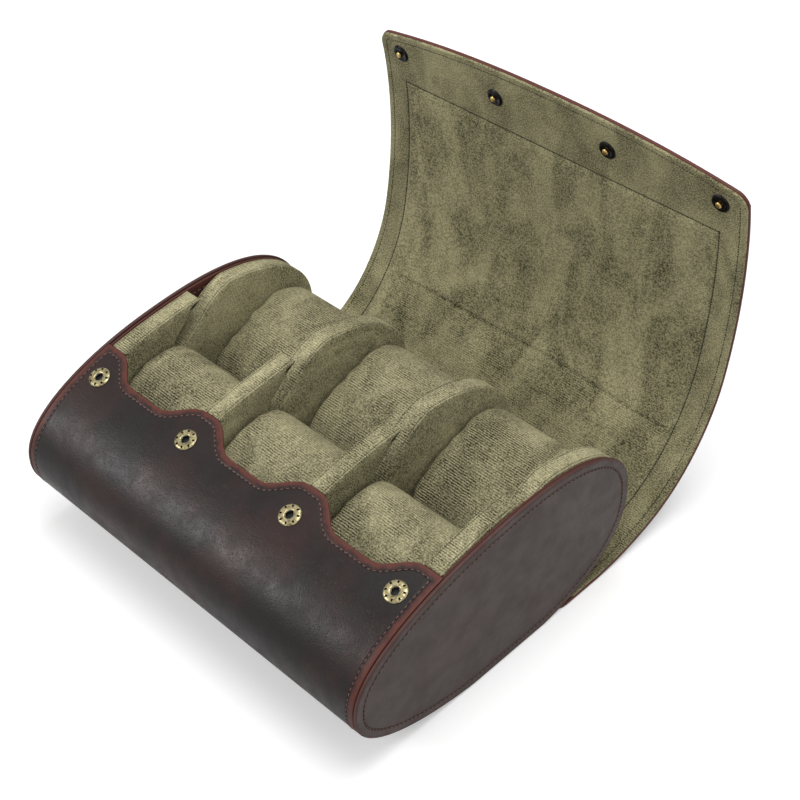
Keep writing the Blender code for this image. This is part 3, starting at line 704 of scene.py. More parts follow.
def stitched(name, lines, thread=HIDE_THREAD, pitch=THREAD_PITCH, length=THREAD_LENGTH, thick=THREAD_THICK):
    """Plain mesh of the stitches along the given lines of points."""
    points = np.concatenate(lines)
    edges, start = [], 0
    for line in lines:
        edges += [(i, i + 1) for i in range(start, start + len(line) - 1)]
        start += len(line)
    guide = bpy.data.meshes.new(name)
    guide.from_pydata(points.tolist(), edges, [])
    carrier = new_object(name + "_guide", guide)
    step = carrier.modifiers.new("stitches", "NODES")
    step.node_group = STITCHES
    values = {"Pitch": pitch, "Length": length, "Thickness": thick, "Seed": STITCH_SEED, "Thread": thread,
              "HoleShade": AWL_HOLE_SHADE}
    for item in STITCHES.interface.items_tree:
        if item.in_out == "INPUT" and item.name in values:
            step[item.identifier] = values[item.name]
    mesh = evaluated(carrier)
    bpy.data.objects.remove(carrier, do_unlink=True)
    return new_object(name, mesh)


def inside_edge(curve, depth, half_width):
    """Line on the flat sheet that runs depth inside a side, a curved end and the other side."""
    half = half_width(curve[0, 1])
    sign = 1.0 if curve[0, 1] < 0.0 else -1.0
    far = curve[0, 1] + sign * 0.4
    side = np.linspace(0.0, 1.0, 800)[1:]
    left = np.stack([np.full_like(side, -half), far + (curve[0, 1] - far) * side], 1)
    right = np.stack([np.full_like(side, half), curve[-1, 1] + (far - curve[-1, 1]) * side], 1)
    whole = np.concatenate([left, curve[1:-1], right])
    run = np.gradient(whole, axis=0)
    run /= np.hypot(*run.T)[:, None]
    inner = whole + depth * sign * np.stack([-run[:, 1], run[:, 0]], 1)
    sparse = whole[::3]
    keep = np.array([np.hypot(*(sparse - p).T).min() > depth * 0.985 for p in inner])
    return inner[keep]


def between(line, low, high):
    """Unbroken runs of a flat line whose distance along the sheet lies in a range."""
    inside = (line[:, 1] > low) & (line[:, 1] < high)
    runs, run = [], []
    for point, keep in zip(line, inside):
        if keep:
            run.append(point)
        elif run:
            runs.append(np.array(run))
            run = []
    if run:
        runs.append(np.array(run))
    return [r for r in runs if len(r) > 12]


def thinned(line, gap=0.0012):
    """The line without points closer together than gap."""
    kept = [line[0]]
    for point in line[1:]:
        if np.hypot(*(point - kept[-1])) > gap:
            kept.append(point)
    return np.array(kept)


LIP_SEAM = inside_edge(LIP_CURVE, HIDE_STITCH_IN, leather_half)
LID_SEAM = inside_edge(LID_CURVE, HIDE_STITCH_IN, leather_half)
LID_SPANS = ((MEETINGS[0], MEETINGS[1]), (MEETINGS[1], MEETINGS[2]), (MEETINGS[2], 1.0))
for number, (low, high) in enumerate(((-1.0, -0.016), *LID_SPANS)):
    runs = between(LID_SEAM if number else LIP_SEAM, low, high)
    if number == 0:
        runs += between(LID_SEAM, -0.009, MEETINGS[0])
    lines = [on_sheet(r[:, 0], r[:, 1], THREAD_LIFT) for r in map(thinned, runs)]
    bend_between(dress(stitched(f"sheet_stitches_{number + 1}", lines)), number)


# End discs. Each end is closed by a disc of two skins of the same hide, laid outside the
# wrap's ends and sewn through, with a burnished raw edge that follows the oval.
DISC_STITCH_IN = 0.0050
DISC_RINGS = (0.0, 0.00010, 0.00030, 0.0007, 0.0013, 0.0022, 0.0034, 0.0046, 0.0056, 0.0066, 0.0080, 0.0105,
              0.0140)
DISC_SCALES = (0.84, 0.68, 0.52, 0.36, 0.20, 0.08)
DISC_CENTRE = (0.004, 0.0500)
DISC_SIDES = 260
DISC_HIDE = leather("disc_leather", tone(61, 49, 44), tone(68, 52, 46), tone(66, 36, 30), 0.0022,
                    DISC_STITCH_IN, 0.44, 0.36, 0.16)
INNER_HIDE = leather("inner_leather", tone(62, 31, 27), tone(80, 42, 34), tone(78, 40, 32), 0.0040, 0.0045,
                     0.6, 0.3, 0.3)


def band_faces(count, rows, closed=False):
    """Quads between rings of count points, and from the last ring to the first if closed."""
    faces = []
    for r in range(rows if closed else rows - 1):
        a, b = r * count, (r + 1) % rows * count
        faces += [(a + i, a + (i + 1) % count, b + (i + 1) % count, b + i) for i in range(count)]
    return faces


def disc_ring(inset, angles):
    return np.array([outline_point(a, inset) for a in angles])


def disc_mesh(outer_x, inner_x, angles, rim_inset=0.0, crown=0.0):
    """Closed disc: rings from the middle of the outer face, over the rounded rim, to the inner face."""
    centre = np.array(DISC_CENTRE)
    thick = abs(outer_x - inner_x)
    sign = 1.0 if outer_x > inner_x else -1.0
    last = disc_ring(DISC_RINGS[-1] + rim_inset, angles)
    rings = [(centre + (last - centre) * k, 0.03 + 0.06 * (1.0 - k)) for k in DISC_SCALES[::-1]]
    rings += [(disc_ring(d + rim_inset, angles), d) for d in DISC_RINGS[::-1]]
    points, edge = [], []
    radius = min(0.0007, 0.45 * thick)
    for face in (1, -1):
        order = rings if face == 1 else rings[::-1]
        for ring, away in order:
            drop = float(rounded(np.array(away), radius))
            rise = crown * float(smooth_step(np.array(away), 0.006, 0.030)) if face == 1 else 0.0
            x = (outer_x - sign * drop + sign * rise) if face == 1 else inner_x + sign * drop
            points.append(np.column_stack([np.full(len(ring), x), ring]))
            edge.append(np.full(len(ring), away))
    count, total = len(angles), len(points)
    flat_points = np.concatenate(points)
    faces = band_faces(count, total)
    middle = [len(flat_points), len(flat_points) + 1]
    caps = np.array([(points[0][0, 0], *centre), (points[-1][0, 0], *centre)])
    for i in range(count):
        j = (i + 1) % count
        faces.append((middle[0], j, i))
        faces.append((middle[1], (total - 1) * count + i, (total - 1) * count + j))
    all_points = np.concatenate([flat_points, caps])
    flat = all_points[:, (1, 2, 0)]
    return closed_mesh(all_points, faces, {"flat": flat, "edge": np.concatenate(edge + [[0.1, 0.1]])})


angles = np.linspace(0.0, 2.0 * math.pi, DISC_SIDES, endpoint=False)
for side, word in ((-1.0, "left"), (1.0, "right")):
    outer = side * CASE_LENGTH / 2.0
    mesh = disc_mesh(outer, outer - side * LEATHER, angles, crown=0.0004)
    dress(make_object("disc_" + word, mesh, DISC_HIDE), ["end_cap_" + word], "case")
    ring = disc_ring(DISC_STITCH_IN, np.append(angles, angles[0]))
    line = np.column_stack([np.full(len(ring), outer + side * 0.00002), ring])
    dress(stitched("disc_stitches_" + word, [line]), body="case")


# End facings. The inner skin of each end is red leather. Above the lip it comes out to the
# edge of the disc, and it shows in the notch between the front and the back end pads.
FACING = 0.0015
FACING_INSET = 0.0008
NOTCH = (0.0170, 0.0345)
FACING_SIDES = 200
FACING_SHRINK = 0.955


def mesh_points(mesh):
    points = np.zeros(len(mesh.vertices) * 3, np.float32)
    mesh.vertices.foreach_get("co", points)
    return points.reshape(-1, 3).astype(float)


def move_points(mesh, points):
    mesh.vertices.foreach_set("co", points.astype(np.float32).ravel())


for side, word in ((-1.0, "left"), (1.0, "right")):
    outer = side * (CASE_LENGTH / 2.0 - LEATHER - GAP)
    shape_angles = np.linspace(0.0, 2.0 * math.pi, FACING_SIDES, endpoint=False)
    mesh = disc_mesh(outer, outer - side * FACING, shape_angles, FACING_INSET)
    points = mesh_points(mesh)
    centre = np.array(DISC_CENTRE)
    low = (points[:, 1] < LIP_PEAK_Y) | (points[:, 2] < 0.02)
    points[low, 1:] = centre + (points[low, 1:] - centre) * FACING_SHRINK
    move_points(mesh, points)
    piece = make_object("facing_" + word, mesh, INNER_HIDE)
    dress(piece, ["end_facing_" + word], "case")
    notch = np.linspace(top_angle(NOTCH[0]), top_angle(NOTCH[1]), 30)
    ring = disc_ring(FACING_INSET + 0.0045, notch)
    line = np.column_stack([np.full(len(ring), outer - side * (FACING + 0.0001)), ring])
    dress(stitched("facing_stitches_" + word, [line]), body="case")


# Lining. Olive suede is glued inside the leather: round the case under the pads, then over
# the lid, where a stiff board under it raises a panel that is sewn round three sides.
SUEDE_TOP = 0.0035
SUEDE_FOOT = 0.00205
CASE_FOOT = 0.0041
CASE_SUEDE = 0.0012
LINING_TOP_Y = -0.066
CASE_LINING_HALF = 0.1209
LID_LINING_HALF = 0.1246
PANEL_HALF = 0.1083
PANEL_TOP_Z = 0.164
PANEL_RISE = 0.0013
CREASE_PLACE = (0.156, 0.045)
LINING_STEPS = (0.0, 0.0003, 0.0008, 0.0016, 0.0028, 0.0040, 0.0050, 0.0060, 0.0072, 0.0092, 0.0115,
                0.0132, 0.0143, 0.0150, 0.0156, 0.0161, 0.0166, 0.0172, 0.0180, 0.0192, 0.0212, 0.0245)
PANEL_SEAM_OUT = 0.0007
LINING_PITCH = 0.0031
LINING_STITCH = 0.0017
LINING_THICK = 0.00034
LINING_LIFT = 0.00006
upper = ALONG > 0.1
PANEL_TOP = float(np.interp(PANEL_TOP_Z, LINE[upper, 1], ALONG[upper]))
CREASE = float(ALONG[np.argmin(np.hypot(LINE[:, 0] - CREASE_PLACE[0], LINE[:, 1] - CREASE_PLACE[1]))])


def nap_group():
    """Brushed nap: broad strokes where the pile lies one way or the other, and a speckle."""
    tree, given, out = shader_group("brushed_nap", [("Place", "NodeSocketVector", None)],
                                    ["Brush", "Speck", "Height"])
    place = given["Place"]
    strokes = add(tree, "ShaderNodeMapping", {"Vector": place, "Scale": (1.5, 0.7, 1.0),
                                              "Rotation": (0.0, 0.0, 0.4)})
    broad = ranged(tree, noise(tree, strokes.outputs[0], 26.0, 3.0, 0.5, 0.9), 0.36, 0.66, smooth=True)
    fine = ranged(tree, noise(tree, place, 90.0, 2.0, 0.5, 0.5), 0.33, 0.67)
    brush = maths(tree, "MULTIPLY_ADD", broad, 0.65, maths(tree, "MULTIPLY", fine, 0.35))
    pile = ranged(tree, noise(tree, place, 1150.0, 2.0, 0.7), 0.40, 0.60)
    coarse = ranged(tree, noise(tree, place, 560.0, 2.0, 0.7), 0.34, 0.66)
    speck = maths(tree, "MULTIPLY_ADD", pile, 0.80, maths(tree, "MULTIPLY", coarse, 0.20))
    height = maths(tree, "MULTIPLY_ADD", fine, 0.5, speck)
    send(tree, out, Brush=brush, Speck=speck, Height=height)
    return tree


def rib_group():
    """Fine ribs across a distance, worn uneven by a little noise."""
    tree, given, out = shader_group(
        "fine_ribs", [("Along", "NodeSocketFloat", 0.0), ("Pitch", "NodeSocketFloat", 0.0013),
                      ("Place", "NodeSocketVector", None)], ["Rib", "Wear"])
    turns = maths(tree, "DIVIDE", given["Along"], given["Pitch"])
    waver = maths(tree, "MULTIPLY_ADD", noise(tree, given["Place"], 240.0, 3.0), 0.9, turns)
    wave = maths(tree, "SINE", maths(tree, "MULTIPLY", waver, 2.0 * math.pi))
    wear = ranged(tree, noise(tree, given["Place"], 70.0, 3.0, 0.6), 0.34, 0.62)
    send(tree, out, Rib=maths(tree, "MULTIPLY_ADD", wave, 0.5, 0.5), Wear=wear)
    return tree


NAP = nap_group()
FINE_RIBS = rib_group()
RIB_PITCH = 0.00135


def suede(name, dark, light, ribs, seam_in=None, relief=0.00022):
    """Olive suede or ribbed pile: ribs is how strongly the ribs show on this piece. The colour also
    carries painted light and shade on the ribs, and painted shade along the folds and the seam groove.
    """
    made, tree, shader, place, edge = surface(name)
    out = add(tree, "ShaderNodeGroup", {"Place": place}, node_tree=NAP).outputs
    along = add(tree, "ShaderNodeAttribute", attribute_name="along").outputs["Fac"]
    ribbed = add(tree, "ShaderNodeAttribute", attribute_name="ribbed").outputs["Fac"]
    rib = add(tree, "ShaderNodeGroup", {"Along": along, "Place": place, "Pitch": RIB_PITCH},
              node_tree=FINE_RIBS).outputs
    ribbed = maths(tree, "MULTIPLY", maths(tree, "MULTIPLY", ribbed, rib["Wear"]), ribs)
    lightness = maths(tree, "MULTIPLY_ADD", out["Speck"], 0.60, maths(tree, "MULTIPLY", out["Brush"], 0.40))
    # Painted light and shade: rib crests are lighter and furrows darker in the colour, as well as in the
    # bump.
    painted_rib_shade = maths(tree, "MULTIPLY", maths(tree, "SUBTRACT", rib["Rib"], 0.5), ribbed)
    lightness = maths(tree, "MULTIPLY_ADD", painted_rib_shade, 0.62, lightness)
    # Painted shade: the suede is darker along the pressed folds.
    fold_shade = add(tree, "ShaderNodeAttribute", attribute_name="fold_shade").outputs["Fac"]
    lightness = maths(tree, "MULTIPLY_ADD", fold_shade, -0.20, lightness)
    colour = mixed(tree, ranged(tree, lightness, 0.0, 1.0), dark, light)
    height = maths(tree, "MULTIPLY_ADD", maths(tree, "MULTIPLY", rib["Rib"], ribbed), 1.4, out["Height"])
    if seam_in is not None:
        # Painted shade: the colour darkens in the seam groove, on top of the bump's dent.
        off = maths(tree, "ABSOLUTE", maths(tree, "SUBTRACT", edge, seam_in))
        groove = ranged(tree, off, 0.0001, 0.00050, 1.0, 0.0, smooth=True)
        colour = mixed(tree, maths(tree, "MULTIPLY", groove, 0.40), colour, tone(58, 54, 34))
        height = maths(tree, "MULTIPLY_ADD", groove, -2.0, height)
    link_shader(tree, shader, colour, ranged(tree, out["Speck"], 0.0, 1.0, 0.98, 0.86), height, relief, 0.8)
    shader.inputs["Specular IOR Level"].default_value = 0.15
    shader.inputs["Sheen Weight"].default_value = 0.25
    shader.inputs["Sheen Roughness"].default_value = 0.45
    shader.inputs["Sheen Tint"].default_value = tone(190, 184, 150)
    return made


LINING_SUEDE = suede("lining_suede", tone(40, 36, 18), tone(186, 179, 139), 0.5, PANEL_TOP)
LINING_THREAD = plain_surface("lining_thread", tone(52, 56, 44), 0.8, 3000.0)


def lining_half(s):
    return CASE_LINING_HALF + (LID_LINING_HALF - CASE_LINING_HALF) * smooth_step(s, -0.006, -0.002)


def lid_lining_ends(x):
    """The suede's free edge, a shade inside the leather's."""
    return lid_end_along(x * LEATHER_HALF / LID_LINING_HALF) - 0.0004


def panel_inside(x, s):
    """Distance inside the sewn panel, below zero outside it."""
    return np.minimum(PANEL_HALF - np.abs(x), PANEL_TOP - s)


FOLDS = ((CREASE, 0.0011, 1.0), (CREASE - 0.021, 0.0013, 0.35), (CREASE - 0.034, 0.0015, 0.3))


def creased(x, s):
    """How deep the suede is pressed at the fold across the lid and the fainter ones under it."""
    total = np.zeros(np.broadcast(x, s).shape)
    for line, width, depth in FOLDS:
        wander = 0.0012 * np.sin(23.0 * x + 70.0 * line) + 0.0005 * np.sin(61.0 * x)
        total = total + depth * np.exp(-(((s - line - wander) / width) ** 2))
    return total * (1.0 - smooth_step(np.abs(x), 0.096, 0.107))


def suede_heights(x, s, away):
    """Under and upper side of the suede above the leather's outer side."""
    foot = CASE_FOOT + (SUEDE_FOOT - CASE_FOOT) * smooth_step(s, -0.013, -0.009)
    top = CASE_FOOT + CASE_SUEDE + (SUEDE_TOP - CASE_FOOT - CASE_SUEDE) * smooth_step(s, -0.013, -0.009)
    inside = panel_inside(x, s)
    rise = 0.0005 + (PANEL_RISE - 0.0005) * smooth_step(s, 0.055, 0.105)
    lid = smooth_step(s, -0.004, 0.006)
    top = top + lid * rise * smooth_step(inside, -0.0002, 0.0024)
    top = top - lid * 0.00035 * np.exp(-(((inside + 0.0006) / 0.0006) ** 2))
    top = top - 0.00050 * creased(x, s) * lid
    wave = np.sin(41.0 * x + 1.3) * np.sin(33.0 * s + 0.6) + 0.6 * np.sin(77.0 * x - 52.0 * s)
    top = top + lid * 0.00022 * wave * smooth_step(inside, 0.002, 0.020)
    top = top - 0.00030 * np.exp(-(((away - HIDE_STITCH_IN) / 0.0006) ** 2)) * lid
    return foot, top - rounded(away, 0.0007)


def lining_stretch(name, x, s, curves, replaced):
    away = edge_distance(x, s, lining_half, curves)
    foot, top = suede_heights(x, s, away)
    lid_share = smooth_step(s, 0.0, 0.01)
    seam = PANEL_TOP + panel_inside(x, s) + 0.0006
    ribbed = 0.45 + 0.55 * (1.0 - smooth_step(s, CREASE - 0.004, CREASE + 0.004))
    # The folds are also handed to the material, which darkens them as painted shade.
    attributes = {"edge": seam, "along": s, "ribbed": ribbed, "fold_shade": creased(x, s) * lid_share}
    return dress(make_object(name, two_sided(x, s, foot, top, attributes), LINING_SUEDE), replaced)


share = columns(LINING_STEPS, 0.0055)
lining_start = front_along(LINING_TOP_Y)
far_edge = lid_lining_ends(share * LID_LINING_HALF)
seam_rows = float(np.max(far_edge)) - PANEL_TOP + np.array(
    (-0.0024, -0.0016, -0.0010, -0.0005, 0.0, 0.0006, 0.0013, 0.0022, 0.0034))
first = straight_rows(share, lining_start, -0.016, 0.0060, lining_half)
tail = straight_rows(share, -0.016, MEETINGS[0], 0.0016, lining_half)
grids = [
    (np.concatenate([first[0][:-1], tail[0]]), np.concatenate([first[1][:-1], tail[1]])),
    straight_rows(share, MEETINGS[0], MEETINGS[1], 0.0018, lining_half),
    straight_rows(share, MEETINGS[1], MEETINGS[2], 0.0011, lining_half),
    sheet_rows(share, MEETINGS[2], far_edge, LINING_STEPS[:11], 0.0036, lining_half, seam_rows),
]
LINING_CURVE = edge_curve(lid_lining_ends, LID_LINING_HALF)
stretches = (
    ("lining_case", [], ["body_lining", "lid_strip_1_lining"], "laid", "sheet_wrap"),
    ("lining_bend", [], ["lid_strip_2_lining"], "laid", "sheet_bend"),
    ("lining_lid", [], ["lid_lining"], "stretched", "sheet_lid"),
    ("lining_flap", [LINING_CURVE], ["lid_flap_lining"], "stretched", "sheet_flap"),
)
for number, ((x, s), (name, curves, replaced, held, under)) in enumerate(zip(grids, stretches)):
    piece = lining_stretch(name, x, s, curves, replaced)
    bend_between(piece, number)

LINING_SEAM = inside_edge(LID_CURVE, HIDE_STITCH_IN, leather_half)
seam_half = PANEL_HALF + PANEL_SEAM_OUT
seam_top = PANEL_TOP + PANEL_SEAM_OUT
across = np.linspace(-seam_half, seam_half, 220)
up = np.linspace(0.004, seam_top, 260)
PANEL_SEAM = [
    np.stack([np.full_like(up, -seam_half), up], 1),
    np.stack([across, np.full_like(across, seam_top)], 1),
    np.stack([np.full_like(up, seam_half), up], 1),
]
for number, (low, high) in enumerate(((-0.004, MEETINGS[0]), *LID_SPANS)):
    inside, outside = [], []
    for path in [LINING_SEAM] + PANEL_SEAM:
        for run in map(thinned, between(path, low, high)):
            away = np.full(len(run), HIDE_STITCH_IN if path is LINING_SEAM else UNWORN)
            top = suede_heights(run[:, 0], run[:, 1], away)[1]
            inside.append(on_sheet(run[:, 0], run[:, 1], top + LINING_LIFT))
            if path is not LINING_SEAM and high > MEETINGS[1]:
                outside.append(on_sheet(run[:, 0], run[:, 1], THREAD_LIFT))
    piece = stitched(f"lining_stitches_{number + 1}", inside, LINING_THREAD, LINING_PITCH, LINING_STITCH,
                     LINING_THICK)
    bend_between(dress(piece), number)
    if outside:
        bend_between(dress(stitched(f"panel_stitches_{number + 1}", outside)), number)


# Boards. Grey board stiffens the wrap and the lid's panel. It is closed in between leather and
# suede, so only its finish is set here.
BOARD_FINISH = plain_surface("grey_board", tone(128, 120, 106), 0.9, 600.0)
for node in ("body_board", "lid_board"):
    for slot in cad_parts[node].material_slots:
        slot.material = BOARD_FINISH


# Pads. The dividers and the end pads are foam boards in a suede cover: a ribbed strip goes
# round the edge and is sewn to a plain side, with a fine seam just inside each edge.
PAD_BASE = 0.0056
PAD_INSET = 0.0008
LIP_ROOM = 0.0042
SPLIT_Y = -0.004
FRONT_PAD_END_Y = 0.016
LEDGE = (0.0175, 0.0868)
LEDGE_FRONT_Z = 0.0796
CHANNEL_FOOT_Z = 0.0690
BROW_Y = 0.038
BROW_LIFT = 0.0075
BROW_SLOPE = 0.25
TAIL_STEP_Y = 0.050
END_FACE = 0.1209
DIVIDER_X = 0.03865
PAD_THICKNESS = {"end": 0.0112, "front": 0.0112, "back": 0.0125}
PAD_ROUND = 0.0006
PAD_SEAM_IN = 0.0014
PAD_STATIONS = (0.0, 0.00012, 0.00035, 0.0007, 0.0011, 0.0013, 0.0015, 0.0017, 0.0020, 0.0028)
PAD_SUEDE = suede("pad_suede", tone(42, 38, 19), tone(197, 190, 151), 0.8, PAD_SEAM_IN)


def arc(start, end, inset):
    count = max(2, round(abs(end - start) / math.radians(1.2)))
    return [outline_point(start + (end - start) * i / count, inset) for i in range(count + 1)]


def base_angle(y):
    return 2.0 * math.pi - top_angle(y)


def front_pad_outline():
    split = SPLIT_Y - 2.0 * GAP
    under = top_angle(LINING_TOP_Y + GAP)
    lip = top_angle(LIP_PEAK_Y + GAP)
    seat = [(split, LEDGE_FRONT_Z + 2.0 * GAP)]
    return arc(base_angle(split), under, PAD_BASE) + arc(under, lip, LIP_ROOM) + \
        arc(lip, top_angle(FRONT_PAD_END_Y), PAD_INSET) + seat


def back_pad_outline():
    over = arc(base_angle(HINGE_Y) - 2.0 * math.pi, top_angle(BROW_Y), PAD_INSET)
    over = [(y, z) for y, z in over if z > PAD_BASE or y > HINGE_Y]
    brow = over[-1]
    bend = (LEDGE[0] + BROW_LIFT, brow[1] - (brow[0] - LEDGE[0] - BROW_LIFT) * BROW_SLOPE)
    curve = []
    for i in range(1, 13):
        t = i / 12.0
        weights = ((1.0 - t) ** 2, 2.0 * t * (1.0 - t), t * t)
        curve.append(tuple(sum(w * c[k] for w, c in zip(weights, (brow, bend, LEDGE))) for k in (0, 1)))
    return over + curve + [(SPLIT_Y, CHANNEL_FOOT_Z), (SPLIT_Y, PAD_BASE), (TAIL_STEP_Y, PAD_BASE)]


def even_loop(points, step, passes):
    """The closed outline at even steps, with its corners softened, and the distance along it."""
    loop = np.array(points + points[:1])
    run = np.concatenate([[0.0], np.cumsum(np.hypot(*np.diff(loop, axis=0).T))])
    count = round(run[-1] / step)
    at = np.linspace(0.0, run[-1], count, endpoint=False)
    even = np.stack([np.interp(at, run, loop[:, k]) for k in (0, 1)], 1)
    for _ in range(passes):
        even = 0.25 * np.roll(even, 1, 0) + 0.5 * even + 0.25 * np.roll(even, -1, 0)
    return even, at


def loop_normals(loop):
    run = np.roll(loop, -1, 0) - np.roll(loop, 1, 0)
    run /= np.hypot(*run.T)[:, None]
    area = np.sum(loop[:, 0] * np.roll(loop[:, 1], -1) - np.roll(loop[:, 0], -1) * loop[:, 1])
    sign = 1.0 if area > 0.0 else -1.0
    return sign * np.stack([-run[:, 1], run[:, 0]], 1)


def inset_share(inward):
    """How much of an inset each point may take, so that thin noses don't turn inside out."""
    ahead, behind = np.roll(inward, -4, 0), np.roll(inward, 4, 0)
    bend = np.sum(ahead * behind, 1)
    share = np.clip(0.25 + 0.75 * bend, 0.12, 1.0)
    for _ in range(5):
        share = np.minimum(share, 0.25 * np.roll(share, -1) + 0.5 * share + 0.25 * np.roll(share, 1))
    return share


def tube_faces(count, rows):
    """Quads round a run of rings, and a face at each end."""
    top = (rows - 1) * count
    return band_faces(count, rows) + [tuple(range(count)), tuple(range(top, top + count))]


def pad_mesh(outline, low, high):
    """Closed pad: the soft-edged strip round the outline, then the two sides, a bit crowned."""
    loop, at = even_loop(outline, 0.0009, 1)
    inward = loop_normals(loop)
    inward *= inset_share(inward)[:, None]
    thick = high - low
    near = np.array([d for d in PAD_STATIONS if d < thick / 2.0])
    groove = 0.00022 * np.exp(-(((near - PAD_SEAM_IN) / 0.00030) ** 2))
    insets = rounded(near, PAD_ROUND) + groove
    sides = [(0.0030, 0.0, 0.5), (0.0018, 0.00018, 0.5)]
    stations = [(low + lift, inset, 0.03, 0.0) for inset, lift, _ in sides]
    stations += [(low + 0.00040 + d * (1.0 - 0.00040 / 0.0028), inset, d, 1.0)
                 for d, inset in zip(near, insets)]
    stations += [((low + high) / 2.0, 0.0, 0.03, 1.0)]
    stations += [(low + high - x, inset, d, strip) for x, inset, d, strip in stations[-2::-1]]
    points = [np.column_stack([np.full(len(loop), x), loop + inset * inward]) for x, inset, _, _ in stations]
    count = len(loop)
    whole = np.concatenate(points)
    edge = np.repeat([d for _, _, d, _ in stations], count)
    ribbed = np.repeat([s for _, _, _, s in stations], count)
    attributes = {"flat": whole, "edge": edge, "ribbed": ribbed, "along": np.tile(at, len(stations))}
    return closed_mesh(whole, tube_faces(count, len(stations)), attributes, 60.0)


def pad(name, outline, low, high, node):
    piece = make_object(name, pad_mesh(outline, min(low, high), max(low, high)), PAD_SUEDE)
    dress(piece, [node], "case")


for row, outline in (("front", front_pad_outline()), ("back", back_pad_outline())):
    for side, word in ((-1.0, "left"), (1.0, "right")):
        end = side * END_FACE
        pad(f"pad_end_{row}_{word}", outline, end, end - side * PAD_THICKNESS["end"], f"end_pad_{row}_{word}")
        half = PAD_THICKNESS[row] / 2.0
        pad(f"pad_divider_{row}_{word}", outline, side * DIVIDER_X - half, side * DIVIDER_X + half,
            f"divider_{row}_{word}")


# Cushions. Six soft rolls that a watch strap closes round: a ribbed cover over foam, drawn in
# at the ends. Each is filled by a short cloth simulation and then kept clear of its bay.
CUSHION_ROWS = {
    "front": ((-0.0405, 0.0440), (0.0515, 0.0263), math.radians(33.7)),
    "back": ((0.0553, 0.0410), (0.0405, 0.0320), math.radians(21.8)),
}
CUSHION_BAYS = {"left": (-0.1092, -0.0455), "middle": (-0.0318, 0.0318), "right": (0.0455, 0.1092)}
CUSHION_SQUARENESS = 2.7
CUSHION_SIDES = 72
CUSHION_ROUND = 0.0060
CUSHION_SLACK = 0.0010
CUSHION_PLUMP = 0.0010
CUSHION_PRESSURE = 4.0
CUSHION_FRAMES = 20
CUSHION_SWELL = 0.0026
BAY_GAP = 0.0002
VOXEL = 0.0040
CUSHION_SUEDE = suede("cushion_cord", tone(38, 34, 17), tone(190, 183, 145), 1.0, None, 0.00034)


def bay_walls():
    """Outline that a cushion may fill: the lining in front and below, the oval behind."""
    lined = arc(top_angle(LINING_TOP_Y), base_angle(0.0), PAD_BASE)
    behind = [(y, max(z, PAD_BASE)) for y, z in arc(base_angle(HINGE_Y), 2.0 * math.pi, PAD_INSET)]
    over = arc(0.0, top_angle(LINING_TOP_Y), LIP_ROOM)
    return np.array(lined + behind + over[1:])


def reach_at(walls, centre, angles):
    """How far the walls are from the centre in each direction."""
    a, b = walls, np.roll(walls, -1, 0)
    heading = np.stack([np.cos(angles), np.sin(angles)], 1)[:, None]
    span = (b - a)[None]
    offset = (a - np.array(centre))[None]
    cross = heading[..., 0] * span[..., 1] - heading[..., 1] * span[..., 0]
    cross = np.where(np.abs(cross) < 1e-12, 1e-12, cross)
    far = (offset[..., 0] * span[..., 1] - offset[..., 1] * span[..., 0]) / cross
    share = (offset[..., 0] * heading[..., 1] - offset[..., 1] * heading[..., 0]) / cross
    far = np.where((share >= -1e-6) & (share <= 1.0 + 1e-6) & (far > 0.0), far, 9.0)
    return far.min(1)


def roll_outline(centre, half, tilt, walls, slack):
    angles = 2.0 * math.pi * np.arange(CUSHION_SIDES) / CUSHION_SIDES
    power = 2.0 / CUSHION_SQUARENESS
    along = (half[0] - slack) * np.sign(np.cos(angles)) * np.abs(np.cos(angles)) ** power
    up = (half[1] - slack) * np.sign(np.sin(angles)) * np.abs(np.sin(angles)) ** power
    y = along * math.cos(tilt) - up * math.sin(tilt)
    z = along * math.sin(tilt) + up * math.cos(tilt)
    far = reach_at(walls, centre, np.arctan2(z, y)) - slack
    size = np.hypot(y, z)
    scale = np.minimum(1.0, far / size)
    return np.stack([centre[0] + y * scale, centre[1] + z * scale], 1)


def roll_mesh(outline, centre, low, high):
    """Closed roll with drawn-in ends."""
    centre = np.array(centre)
    ends = ((0.0, 0.955), (0.0006, 0.975), (0.0018, 0.990), (0.0035, 0.998), (CUSHION_ROUND, 1.0))
    stations = [(low + d, k) for d, k in ends] + [(high - d, k) for d, k in ends[::-1]]
    points = [np.column_stack([np.full(len(outline), x), centre + (outline - centre) * k])
              for x, k in stations]
    return closed_mesh(np.concatenate(points), tube_faces(len(outline), len(stations)), {})


def filled(mesh):
    """Where the cover's points lie once the cushion is blown up for a few frames."""
    carrier = new_object("filling", mesh)
    cloth = carrier.modifiers.new("cloth", "CLOTH")
    settings = cloth.settings
    settings.use_pressure = True
    settings.uniform_pressure_force = CUSHION_PRESSURE
    settings.effector_weights.gravity = 0.0
    settings.mass = 0.3
    cloth.point_cache.frame_end = CUSHION_FRAMES
    for moment in range(1, CUSHION_FRAMES + 1):
        bpy.context.scene.frame_set(moment)
    blown = evaluated(carrier)
    points = mesh_points(blown)
    carrier.modifiers.clear()
    bpy.data.objects.remove(carrier, do_unlink=True)
    bpy.context.scene.frame_set(1)
    return points


def kept_in_bay(points, centre, walls, low, high):
    table = np.linspace(-math.pi, math.pi, 721)
    room = reach_at(walls, centre, table) - BAY_GAP
    offset = points[:, 1:] - np.array(centre)
    size = np.hypot(*offset.T)
    most = np.interp(np.arctan2(offset[:, 1], offset[:, 0]), table, room)
    points[:, 1:] = np.array(centre) + offset * np.minimum(1.0, most / np.maximum(size, 1e-9))[:, None]
    points[:, 0] = np.clip(points[:, 0], low, high)
    return points


